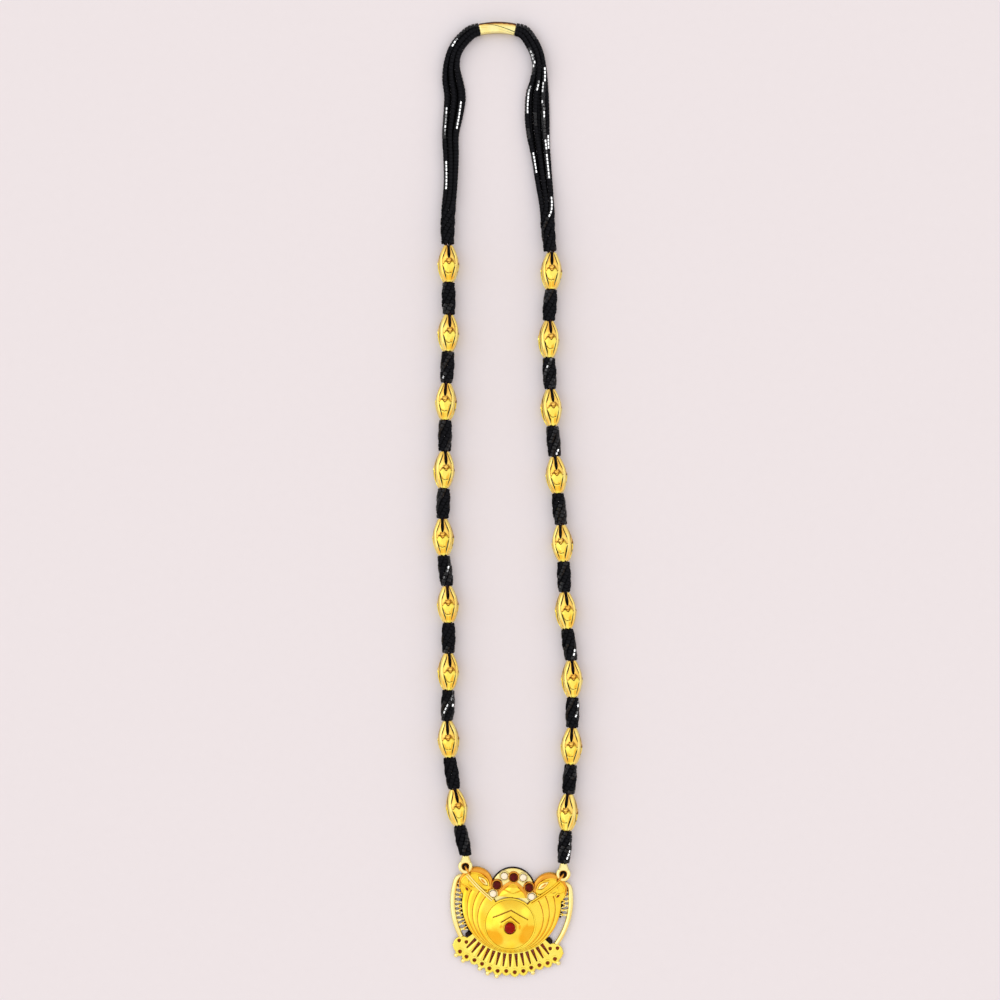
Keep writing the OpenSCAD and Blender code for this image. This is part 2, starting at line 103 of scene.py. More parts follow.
# Upper run of each bundle. Columns: x, y, width, depth, turn of the twist
RUNS: dict[Side, list[tuple[float, ...]]] = {
    Side.LEFT: [
        (-10.1, 168.75, 4.2, 4.0, 0), (-12.0, 168.3, 4.5, 3.9, 0), (-13.9, 167.2, 4.8, 3.9, 0),
        (-17.0, 164.1, 5.1, 3.8, 0),
        (-19.2, 160.3, 5.2, 3.8, 0), (-20.1, 155.6, 6.0, 3.5, 0), (-19.8, 150.8, 7.4, 3.1, 0),
        (-18.9, 145.0, 7.8, 3.0, 0), (-19.5, 138.4, 7.2, 3.2, 0), (-20.5, 131.0, 6.1, 3.6, 0),
        (-20.3, 122.4, 5.6, 3.8, 0), (-20.5, 113.0, 5.0, 4.0, 0), (-21.2, 104.0, 5.2, 4.6, 30),
        (-21.5, 97.5, 5.3, 5.1, 125), (-21.4, 91.6, 4.7, 4.7, 215)],
    Side.RIGHT: [
        (2.9, 168.75, 4.2, 4.0, 0), (4.8, 168.3, 4.5, 3.9, 0), (6.4, 167.3, 4.8, 3.9, 0),
        (8.6, 164.2, 5.0, 3.8, 0),
        (10.5, 160.2, 4.9, 3.9, 0), (11.4, 155.4, 5.2, 3.8, 0), (11.3, 150.2, 6.6, 3.3, 0),
        (10.7, 145.4, 8.4, 3.0, 0), (10.6, 139.2, 9.0, 2.9, 0), (10.9, 132.2, 8.6, 3.0, 0),
        (11.9, 124.0, 7.2, 3.3, 0), (13.0, 114.6, 6.4, 3.6, 0), (14.2, 104.4, 5.4, 4.4, 20),
        (14.5, 96.8, 5.3, 5.1, 120), (15.3, 89.1, 4.7, 4.7, 225)],
}
# Middle of each gold bead, from the neck down. Columns: x, y
BEAD_SPOTS: dict[Side, list[Pair]] = {
    Side.LEFT: [
        (-21.2, 84.4), (-21.2, 59.6), (-22.1, 35.1), (-22.7, 10.6), (-23.1, -13.5),
        (-21.4, -37.6), (-21.2, -61.7), (-21.2, -85.9), (-18.2, -110.3)],
    Side.RIGHT: [
        (15.7, 81.9), (14.8, 57.4), (15.7, 32.9), (17.5, 8.8), (19.6, -15.7),
        (20.9, -39.8), (23.1, -64.3), (22.9, -88.4), (21.4, -112.1)],
}

BEAD_LEN = 13.0
BEAD_R = 3.7
# Bare thread between a gold bead's end and the seed beads
END_GAP = 0.35
# Middle of the right end ring in the pendant's frame, and its height
RING_AT = (17.6, 19.6)
RING_Z = 4.05
# From a ring's middle to the mouth of its neck, and bare thread above that mouth
RING_NECK = (0.1, 3.9)
NECK_GAP = 0.2
# Forms that stand in another one start this far up, so no two undersides lie in one plane.
BURIED = 0.15
# Radius of the small flat face that closes a turned form on its axis
HUB = 0.1


def linear(code: str) -> tuple[float, float, float, float]:
    """Turns an sRGB hex colour to the linear values that a shader takes.

    Args:
        code: the colour as a hash and six hex digits.

    Returns:
        Linear red, green and blue, and a full alpha.
    """
    digits = code.lstrip("#")
    values = [int(digits[i:i + 2], 16) / 255 for i in (0, 2, 4)]
    red, green, blue = [v / 12.92 if v <= 0.04045 else ((v + 0.055) / 1.055) ** 2.4 for v in values]
    return red, green, blue, 1.0


def mix(a: float, b: float, share: float) -> float:
    """The value a share of the way from a to b."""
    return a + (b - a) * share


def ease(low: float, high: float, value: float | np.ndarray) -> np.ndarray:
    """A smooth step from 0 at low to 1 at high."""
    share = np.clip((value - low) / (high - low), 0, 1)
    return share * share * (3 - 2 * share)


def turned(x: float | np.ndarray, y: float | np.ndarray, degrees: float) -> tuple[np.ndarray, np.ndarray]:
    """Turns a point about the upright axis.

    Args:
        x: its place across.
        y: its place along.
        degrees: the turn, anticlockwise from above.

    Returns:
        The turned x and y.
    """
    c, s = math.cos(math.radians(degrees)), math.sin(math.radians(degrees))
    return x * c - y * s, x * s + y * c


def laid(x: float | np.ndarray, y: float | np.ndarray) -> tuple[np.ndarray, np.ndarray]:
    """Turns a point of the pendant's own frame into the loop's frame.

    Args:
        x: place across the pendant from its bowl's middle.
        y: place up the pendant, towards its rings.

    Returns:
        The point's x and y in the loop's frame.
    """
    across, up = turned(x, y, -PENDANT_TURN)
    return PENDANT_AT[0] + across, PENDANT_AT[1] + up


def curve_through(rows: np.ndarray, steps: int) -> np.ndarray:
    """Runs a smooth curve through rows of numbers.

    Args:
        rows: one row per knot.
        steps: pieces between two knots.

    Returns:
        The rows along the curve, knots included.
    """
    out = []
    n = len(rows)
    for i in range(n - 1):
        a, b, c, d = rows[max(i - 1, 0)], rows[i], rows[i + 1], rows[min(i + 2, n - 1)]
        for k in range(steps):
            t = k / steps
            out.append(0.5 * (2 * b + (c - a) * t + (2 * a - 5 * b + 4 * c - d) * t ** 2
                              + (3 * b - a - 3 * c + d) * t ** 3))
    out.append(rows[-1])
    return np.array(out)


def along(table: Sequence[Sequence[float]], column: int, at: np.ndarray) -> np.ndarray:
    """Reads one column of a table at any places, smoothly.

    Args:
        table: rows whose first column is the place.
        column: the column to read.
        at: the places.

    Returns:
        The column's values at those places.
    """
    dense = curve_through(np.array(table, float), 12)
    return np.interp(at, dense[:, 0], dense[:, column])


def circle(at: Triple, radius: float, steps: int) -> np.ndarray:
    """Points of a level circle, anticlockwise from above."""
    a = np.arange(steps) / steps * 2 * np.pi
    return np.column_stack([at[0] + radius * np.cos(a), at[1] + radius * np.sin(a), np.full(steps, at[2])])


class Shell:
    """Collects the points, in millimetres, and the faces of one mesh."""

    def __init__(self) -> None:
        """Starts with nothing."""
        self.points: list[np.ndarray] = []
        self.faces: list[list[int]] = []
        self.finishes: list[int] = []
        self.count = 0

    def put(self, points: np.ndarray) -> int:
        """Adds points.

        Args:
            points: an array whose last axis is x, y and z.

        Returns:
            The first one's number.
        """
        start = self.count
        flat = np.asarray(points, float).reshape(-1, 3)
        self.points.append(flat)
        self.count += len(flat)
        return start

    def face(self, corners: Iterable[int], finish: int = 0) -> None:
        """Adds one face from its corners' numbers and its material's number."""
        self.faces.append(list(corners))
        self.finishes.append(finish)

    def grid(self, rows: np.ndarray, ring_rows: bool = False, ring_cols: bool = False,
             finish: int | np.ndarray = 0, flip: bool = False) -> int:
        """Adds a sheet of four-sided faces.

        Args:
            rows: points in an array of rows, columns and three values.
            ring_rows: the last row joins the first.
            ring_cols: the last column joins the first.
            finish: the material's number, or one for each face.
            flip: turns the faces over.

        Returns:
            The number of the first point.
        """
        n, m = rows.shape[:2]
        start = self.put(rows)
        r = np.arange(n if ring_rows else n - 1)
        c = np.arange(m if ring_cols else m - 1)
        rr, cc = np.meshgrid(r, c, indexing="ij")
        a = rr * m + cc
        b = rr * m + (cc + 1) % m
        e = (rr + 1) % n * m + (cc + 1) % m
        d = (rr + 1) % n * m + cc
        quads = np.stack([a, d, e, b] if flip else [a, b, e, d], -1).reshape(-1, 4) + start
        self.faces.extend(quads.tolist())
        self.finishes.extend(np.broadcast_to(finish, rr.shape).ravel().tolist())
        return start

    def rings(self, rows: np.ndarray, finish: int | np.ndarray = 0, cap: int = 0) -> None:
        """Adds a form of closed rings of points, with a flat face at each end.

        Args:
            rows: points in an array of rings, points a ring and three values.
            finish: the material's number, or one for each face of the side.
            cap: the material's number of the two ends.
        """
        n, m = rows.shape[:2]
        start = self.grid(rows, ring_cols=True, finish=finish)
        self.face([start + k for k in range(m - 1, -1, -1)], cap)
        self.face([start + (n - 1) * m + k for k in range(m)], cap)

    def slab(self, top: np.ndarray, under: np.ndarray, inside: int = 0,
             outside: int | np.ndarray = 0) -> None:
        """Closes two sheets of the same size into a solid.

        Args:
            top: the outer sheet.
            under: the inner sheet.
            inside: the material of the inner sheet and the edges.
            outside: the outer sheet's material, or one for each face.
        """
        n, m = top.shape[:2]
        a = self.grid(top, finish=outside)
        b = self.grid(under, finish=inside, flip=True)
        rim = (list(range(m)) + [i * m + m - 1 for i in range(1, n)]
               + [(n - 1) * m + k for k in range(m - 2, -1, -1)] + [i * m for i in range(n - 2, 0, -1)])
        for k, p in enumerate(rim):
            q = rim[(k + 1) % len(rim)]
            self.face((a + q, a + p, b + p, b + q), inside)

    def sweep(self, path: np.ndarray, section: np.ndarray, size: np.ndarray, closed: bool = False,
              finish: int = 0) -> None:
        """Carries a closed section along a path, with closed ends.

        Args:
            path: the points of its middle line.
            section: the section's corners, across and up, anticlockwise as seen from the path's end.
            size: a width and a height for each point of the path, which scale the section.
            closed: the path is a ring.
            finish: the material's number.
        """
        ahead = np.roll(path, -1, 0) - np.roll(path, 1, 0)
        if not closed:
            ahead[0], ahead[-1] = path[1] - path[0], path[-1] - path[-2]
        ahead /= np.linalg.norm(ahead, axis=1)[:, None]
        up = np.where(np.abs(ahead[:, 2:3]) > 0.9, [[0.0, 1.0, 0.0]], [[0.0, 0.0, 1.0]])
        across = np.cross(up, ahead)
        across /= np.linalg.norm(across, axis=1)[:, None]
        rise = np.cross(ahead, across)
        size = np.broadcast_to(size, (len(path), 2))
        rows = (path[:, None, :] + across[:, None, :] * (size[:, :1] * section[:, 0])[..., None]
                + rise[:, None, :] * (size[:, 1:] * section[:, 1])[..., None])
        if closed:
            self.grid(rows, ring_rows=True, ring_cols=True, finish=finish)
        else:
            self.rings(rows, finish, finish)

    def tube(self, path: np.ndarray, radius: float | np.ndarray, sides: int = 12, closed: bool = False,
             flat: float = 1.0, finish: int = 0) -> None:
        """Adds a round bar along a path, with closed ends.

        Args:
            path: the points of its middle line.
            radius: one radius, or one for each point.
            sides: corners of its section.
            closed: the path is a ring.
            flat: height of the section as a share of its width.
            finish: the material's number.
        """
        a = np.arange(sides) / sides * 2 * np.pi
        wide = np.broadcast_to(np.asarray(radius, float), (len(path),))
        self.sweep(path, np.column_stack([np.cos(a), np.sin(a)]), np.column_stack([wide, wide * flat]),
                   closed, finish)

    def lathe(self, profile: Sequence[Pair], steps: int, at: Pair = (0.0, 0.0), finish: int = 0) -> None:
        """Adds a form turned round an upright axis, closed where the profile meets the axis.

        Args:
            profile: radius and height of each point, from the lower middle outwards and up.
            steps: pieces round the axis.
            at: the axis's place.
            finish: the material's number.
        """
        a = np.arange(steps) / steps * 2 * np.pi
        p = np.array(profile, float)
        rows = np.stack([at[0] + p[:, :1] * np.cos(a), at[1] + p[:, :1] * np.sin(a),
                         np.repeat(p[:, 1:2], steps, 1)], -1)
        self.rings(rows, finish, finish)

    def ball(self, at: Triple, radii: Triple, turn: float = 0.0, finish: int = 0, fine: int = 12) -> None:
        """Adds an egg-like drop.

        Args:
            at: its middle.
            radii: its half sizes along its own axes.
            turn: its turn about the upright, in degrees.
            finish: the material's number.
            fine: pieces round it.
        """
        tip = 0.48 * np.pi
        v = np.linspace(-tip, tip, max(6, fine // 2 + 1))
        u = np.arange(fine) / fine * 2 * np.pi
        x = radii[0] * np.cos(v)[:, None] * np.cos(u)
        y = radii[1] * np.cos(v)[:, None] * np.sin(u)
        z = np.repeat(radii[2] * np.sin(v)[:, None], fine, 1)
        x, y = turned(x, y, turn)
        self.rings(np.stack([at[0] + x, at[1] + y, at[2] + z], -1), finish, finish)

    def shifted(self, change: Callable[[np.ndarray], np.ndarray]) -> "Shell":
        """Makes a copy whose points are changed.

        Args:
            change: takes and gives the whole array of points.

        Returns:
            The copy.
        """
        twin = Shell()
        twin.points = [change(np.concatenate(self.points))]
        twin.count = self.count
        twin.faces = [list(f) for f in self.faces]
        twin.finishes = list(self.finishes)
        return twin

    def take(self, other: "Shell", mirror: bool = False) -> None:
        """Adds another shell's faces.

        Args:
            other: the shell to add.
            mirror: turns it over left to right.
        """
        points = np.concatenate(other.points)
        start = self.put(points * (-1, 1, 1) if mirror else points)
        for f, finish in zip(other.faces, other.finishes):
            corners = [start + k for k in f]
            self.face(reversed(corners) if mirror else corners, finish)

    def mesh(self, name: str) -> bpy.types.Mesh:
        """Makes the Blender mesh in metres, shaded smoothly.

        Args:
            name: its name.

        Returns:
            The mesh.
        """
        made = bpy.data.meshes.new(name)
        made.from_pydata((np.concatenate(self.points) * MM).tolist(), [], self.faces)
        made.polygons.foreach_set("material_index", self.finishes)
        made.polygons.foreach_set("use_smooth", [True] * len(self.faces))
        made.validate()
        made.update()
        return made


def set_in_place(name: str, mesh: bpy.types.Mesh, finishes: Sequence[Material],
                 stands_for: Sequence[str], crisp: float | None = 40.0) -> bpy.types.Object:
    """Makes a piece of the mangalsutra and hangs it on its body.

    Args:
        name: the piece's plain name.
        mesh: its mesh.
        finishes: its materials, in the order of the mesh's numbers.
        stands_for: the nodes that it replaces.
        crisp: edges sharper than this many degrees stay sharp.

    Returns:
        The piece.
    """
    piece = bpy.data.objects.new(name, mesh)
    bpy.context.scene.collection.objects.link(piece)
    for finish in finishes:
        mesh.materials.append(finish)
    if crisp is not None:
        mesh.set_sharp_from_angle(angle=math.radians(crisp))
    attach(piece, BODY)
    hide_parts(*stands_for)
    LOG.info("%s: %d faces", name, len(mesh.polygons))
    return piece


def add_node(tree: bpy.types.NodeTree, kind: str, settings: dict | None = None,
             inputs: dict | None = None) -> bpy.types.Node:
    """Adds a node with its settings, its values and its links.

    Args:
        tree: the node tree.
        kind: the node's type name.
        settings: attributes of the node.
        inputs: a value or another node's output socket, by input name or number.

    Returns:
        The node.
    """
    node = tree.nodes.new(kind)
    for key, value in (settings or {}).items():
        setattr(node, key, value)
    for key, value in (inputs or {}).items():
        if isinstance(value, bpy.types.NodeSocket):
            tree.links.new(value, node.inputs[key])
        else:
            node.inputs[key].default_value = value
    return node


def new_material(name: str) -> tuple[Material, bpy.types.NodeTree]:
    """Makes an empty material.

    Args:
        name: the material's name.

    Returns:
        The material and its node tree.
    """
    made = bpy.data.materials.new(name)
    made.use_nodes = True
    made.node_tree.nodes.clear()
    return made, made.node_tree


@dataclass(frozen=True)
class PolishedGold:
    """Gold plating on stamped metal, tumbled and polished.

    It gives the eye a warm mirror. Its colour is painted brown in the seams and hollows as shade,
    which draws each ridge and leaf with a fine line, and steep sides are painted browner as shade.
    """

    name: str = "polished_gold_plating"
    bright: str = "#FFE250"
    deep: str = "#FFD43A"
    hollow_shade: str = "#A8560E"
    steep_shade: str = "#6A3E10"
    roughness: float = 0.11
    hollow_mm: float = 0.8
    cloud_mm: float = 5.0
    dent_mm: float = 1.4
    dent_depth_mm: float = 0.006
    hollow_shade_from: float = 0.22
    hollow_shade_to: float = 0.56
    steep_from: float = -0.05
    steep_to: float = 0.42

    def make(self) -> Material:
        """Builds the material.

        Returns:
            The material.
        """
        made, tree = new_material(self.name)
        place = add_node(tree, "ShaderNodeNewGeometry")
        clouds = add_node(tree, "ShaderNodeTexNoise", inputs={
            "Vector": place.outputs["Position"], "Scale": 1 / (self.cloud_mm * MM), "Detail": 2.0})
        cloud_share = add_node(tree, "ShaderNodeMapRange", inputs={
            "Value": clouds.outputs["Fac"], "From Min": 0.35, "From Max": 0.65})
        tone = add_node(tree, "ShaderNodeMix", settings={"data_type": "RGBA"}, inputs={
            0: cloud_share.outputs["Result"], 6: linear(self.bright), 7: linear(self.deep)})
        # Painted shade: where ambient occlusion finds a hollow or seam, the colour turns brown.
        hollow = add_node(tree, "ShaderNodeAmbientOcclusion", settings={"samples": 8}, inputs={
            "Distance": self.hollow_mm * MM})
        open_share = add_node(tree, "ShaderNodeMapRange", inputs={
            "Value": hollow.outputs["AO"], "From Min": self.hollow_shade_from, "From Max": self.hollow_shade_to})
        colour = add_node(tree, "ShaderNodeMix", settings={"data_type": "RGBA"}, inputs={
            0: open_share.outputs["Result"], 6: linear(self.hollow_shade), 7: tone.outputs[2]})
        # Painted shade: faces that turn away from straight up are painted dark brown.
        facing = add_node(tree, "ShaderNodeSeparateXYZ", inputs={0: place.outputs["Normal"]})
        level = add_node(tree, "ShaderNodeMath", settings={"operation": "ABSOLUTE"}, inputs={
            0: facing.outputs["Z"]})
        level_share = add_node(tree, "ShaderNodeMapRange", inputs={
            "Value": level.outputs["Value"], "From Min": self.steep_from, "From Max": self.steep_to})
        colour = add_node(tree, "ShaderNodeMix", settings={"data_type": "RGBA"}, inputs={
            0: level_share.outputs["Result"], 6: linear(self.steep_shade), 7: colour.outputs[2]})
        dents = add_node(tree, "ShaderNodeTexNoise", inputs={
            "Vector": place.outputs["Position"], "Scale": 1 / (self.dent_mm * MM), "Detail": 2.0})
        rough = add_node(tree, "ShaderNodeMapRange", inputs={
            "Value": dents.outputs["Fac"], "From Min": 0.3, "From Max": 0.7,
            "To Min": self.roughness * 0.75, "To Max": self.roughness * 1.3})
        bump = add_node(tree, "ShaderNodeBump", inputs={
            "Height": dents.outputs["Fac"], "Distance": self.dent_depth_mm * MM})
        shader = add_node(tree, "ShaderNodeBsdfPrincipled", inputs={
            "Base Color": colour.outputs[2], "Roughness": rough.outputs["Result"],
            "Normal": bump.outputs["Normal"], "Metallic": 1.0})
        add_node(tree, "ShaderNodeOutputMaterial", inputs={"Surface": shader.outputs["BSDF"]})
        return made


@dataclass(frozen=True)
class BlackSeedGlass:
    """Black glass tube cut into short faceted seed beads, fire polished, on waxed thread.

    It gives the eye a black string. Where a few beads kept their polish, short white dashes run down
    it in a line, and where they are dulled by wax and wear it stays black.
    """

    name: str = "worn_black_seed_glass"
    body: str = "#030304"
    smoke: str = "#08080A"
    roughness: float = 0.85
    roughness_spread: float = 0.10
    ior: float = 1.5
    specular: float = 0.02
    lot_mm: float = 2.6

    def make(self) -> Material:
        """Builds the material.

        Returns:
            The material.
        """
        made, tree = new_material(self.name)
        place = add_node(tree, "ShaderNodeNewGeometry")
        lots = add_node(tree, "ShaderNodeTexNoise", inputs={
            "Vector": place.outputs["Position"], "Scale": 1 / (self.lot_mm * MM), "Detail": 1.0})
        smoke = add_node(tree, "ShaderNodeMix", settings={"data_type": "RGBA"}, inputs={
            0: lots.outputs["Fac"], 6: linear(self.body), 7: linear(self.smoke)})
        rough = add_node(tree, "ShaderNodeMapRange", inputs={
            "Value": lots.outputs["Fac"], "From Min": 0.35, "From Max": 0.65,
            "To Min": self.roughness - self.roughness_spread,
            "To Max": self.roughness + self.roughness_spread})
        shader = add_node(tree, "ShaderNodeBsdfPrincipled", inputs={
            "Base Color": smoke.outputs[2], "Roughness": rough.outputs["Result"],
            "IOR": self.ior, "Specular IOR Level": self.specular})
        add_node(tree, "ShaderNodeOutputMaterial", inputs={"Surface": shader.outputs["BSDF"]})
        return made


@dataclass(frozen=True)
class CloudedSurface:
    """A surface whose colour turns from one tone to another in small clouds."""

    name: str
    body: str
    cloud: str
    cloud_mm: float = 1.0
    detail: float = 2.0
    cloud_from: float = 0.0
    cloud_to: float = 1.0
    roughness: float = 0.5
    ior: float = 1.5
    specular: float = 0.5

    def make(self) -> Material:
        """Builds the material.

        Returns:
            The material.
        """
        made, tree = new_material(self.name)
        place = add_node(tree, "ShaderNodeNewGeometry")
        clouds = add_node(tree, "ShaderNodeTexNoise", inputs={
            "Vector": place.outputs["Position"], "Scale": 1 / (self.cloud_mm * MM), "Detail": self.detail})
        share = add_node(tree, "ShaderNodeMapRange", inputs={
            "Value": clouds.outputs["Fac"], "From Min": self.cloud_from, "From Max": self.cloud_to})
        colour = add_node(tree, "ShaderNodeMix", settings={"data_type": "RGBA"}, inputs={
            0: share.outputs["Result"], 6: linear(self.body), 7: linear(self.cloud)})
        shader = add_node(tree, "ShaderNodeBsdfPrincipled", inputs={
            "Base Color": colour.outputs[2], "Roughness": self.roughness,
            "IOR": self.ior, "Specular IOR Level": self.specular})
        add_node(tree, "ShaderNodeOutputMaterial", inputs={"Surface": shader.outputs["BSDF"]})
        return made


@dataclass(frozen=True)
class FoiledGlass(CloudedSurface):
    """A cut and polished glass stone with foil behind it, in a red or a milky kind.

    It gives the eye a deep even colour that turns lighter in small clouds.
    """

    cloud_mm: float = 0.9
    detail: float = 1.0
    cloud_from: float = 0.35
    cloud_to: float = 0.7
    roughness: float = 0.10
    ior: float = 1.58
    specular: float = 0.10


@dataclass(frozen=True)
class PaintedShade(CloudedSurface):
    """A dull surface painted as shade on stamped gold, from near black through red-brown to amber.

    It gives the eye painted shade in a hollow, a line, an opening or an inner side, lighter in small clouds.
    """

    cloud_mm: float = 1.2
    cloud_from: float = 0.42
    cloud_to: float = 0.7
    roughness: float = 0.6
    specular: float = 0.2


@dataclass(frozen=True)
class MattPaper(CloudedSurface):
    """The pale uncoated paper that the mangalsutra lies on.

    It gives the eye an even pink-white ground that takes soft shadows. The clouds are its fibres,
    drawn coarser than real ones so that they can show.
    """

    name: str = "matt_paper"
    body: str = "#E9E6EF"
    cloud: str = "#E7E4ED"
    cloud_mm: float = 3.0
    roughness: float = 0.95
    specular: float = 0.1


@dataclass(frozen=True)
class WaxedThread:
    """Spun and waxed cotton thread, black or maroon.

    It gives the eye soft dark lines with a fine slanting twist in the slots of the gold beads.
    """

    name: str
    body: str
    worn: str
    # The spin of a real thread is finer than this and would not show in the picture.
    twist_mm: float = 0.35
    roughness: float = 0.75

    def make(self) -> Material:
        """Builds the material.

        Returns:
            The material.
        """
        made, tree = new_material(self.name)
        place = add_node(tree, "ShaderNodeNewGeometry")
        # A wave texture at scale 1 has 20 / (2 pi) bands in a metre.
        spin = add_node(tree, "ShaderNodeTexWave", settings={"bands_direction": "DIAGONAL"}, inputs={
            "Vector": place.outputs["Position"], "Scale": 2 * math.pi / 20 / (self.twist_mm * MM),
            "Distortion": 1.5})
        colour = add_node(tree, "ShaderNodeMix", settings={"data_type": "RGBA"}, inputs={
            0: spin.outputs["Fac"], 6: linear(self.body), 7: linear(self.worn)})
        shader = add_node(tree, "ShaderNodeBsdfPrincipled", inputs={
            "Base Color": colour.outputs[2], "Roughness": self.roughness})
        add_node(tree, "ShaderNodeOutputMaterial", inputs={"Surface": shader.outputs["BSDF"]})
        return made


@dataclass
class Finishes:
    """All the materials, each made once."""

    # Plated, tumbled and polished: the warm mirror of the pendant's raised work
    gold: Material = field(default_factory=PolishedGold().make)
    # Plated thinner and wiped: the cream side wires, crown, end rings and sleeve
    pale_gold: Material = field(default_factory=PolishedGold(
        name="pale_gold_plating", bright="#FFF4AC", deep="#FFEC94", hollow_shade="#A86A20", roughness=0.2,
        hollow_shade_from=0.12, hollow_shade_to=0.42).make)
    # Plated and buffed flat: the lemon comb and the beads' shields
    buffed_gold: Material = field(default_factory=PolishedGold(
        name="buffed_gold_plating", bright="#FFF072", deep="#FFE860", roughness=0.16).make)
    # Satin and darker amber, as painted shade: the lobes' rolls, the red stones' cups, the crown's outer
    # arch, the leaves' middles and the ear loops
    shaded_gold: Material = field(default_factory=PolishedGold(
        name="shaded_gold_plating", bright="#F4B248", deep="#E69C34", roughness=0.26).make)
    # Stamped sheet, plated and barely polished: the beads' dull yellow panels
    sheet_gold: Material = field(default_factory=PolishedGold(
        name="stamped_gold_sheet", bright="#FFDA70", deep="#FFCC5A", roughness=0.24).make)
    # Stamped sheet, rubbed bright by wear: the beads' light fins
    fin_gold: Material = field(default_factory=PolishedGold(
        name="burnished_gold_sheet", bright="#FFEC8C", deep="#FFDC70", roughness=0.18).make)
    # Dull with wear and wax: most of the seed beads
    black: Material = field(default_factory=BlackSeedGlass().make)
    # Still glossy from the fire polish: the seed beads that flash white
    polished_black: Material = field(default_factory=BlackSeedGlass(
        name="fire_polished_black_seed_glass", roughness=0.08, roughness_spread=0.03,
        specular=0.25).make)
    # Cut glass with foil: the clear red centre stone, the deep red and the milky crown stones
    red: Material = field(default_factory=FoiledGlass(
        "red_foiled_glass", "#860600", "#9A0C02").make)
    dark_red: Material = field(default_factory=FoiledGlass(
        "dark_red_foiled_glass", "#4C0704", "#640E06").make)
    milky: Material = field(default_factory=FoiledGlass(
        "milky_foiled_glass", "#FFEFD2", "#FFF8E8", roughness=0.16).make)
    # Near-black painted shade: bead and sleeve insides, the crown's dark disc, the teeth's strip, the wire's
    # blob and the ear lugs
    inside: Material = field(default_factory=PaintedShade(
        "painted_dark_shade", "#0C0302", "#260805").make)
    # Red-brown painted shade: the backing seen through the comb's openings and the lobes' sunk and open
    # leaves
    hollow_shade: Material = field(default_factory=PaintedShade(
        "painted_hollow_shade", "#7A2A0E", "#A8481A").make)
    # Amber painted shade in the crescent's grooves, drawn as lines
    seam: Material = field(default_factory=PaintedShade(
        "painted_groove_shade", "#D07C14", "#E89A2C").make)
    # Brown painted shade: the stamped lines on the beads and the bowl, and a band on the sleeve's side
    brown_shade: Material = field(default_factory=PaintedShade(
        "painted_brown_shade", "#74400C", "#A4661C").make)
    # Waxed cotton: dark lines in the gaps and slits
    black_thread: Material = field(default_factory=WaxedThread(
        "black_waxed_thread", "#060505", "#12100E").make)
    maroon_thread: Material = field(default_factory=WaxedThread(
        "maroon_waxed_thread", "#2E0705", "#46100B").make)
    paper: Material = field(default_factory=MattPaper().make)


@dataclass(frozen=True)
class Stretch:
    """One stretch of a bundle between two things that hold its threads.

    Rows hold x, y, z, heading in degrees, half width, half depth, turn in degrees, and how round
    the bundle is: 0 where the strings lie in two flat layers and 1 where they twist in a ring.
    """

    rows: np.ndarray


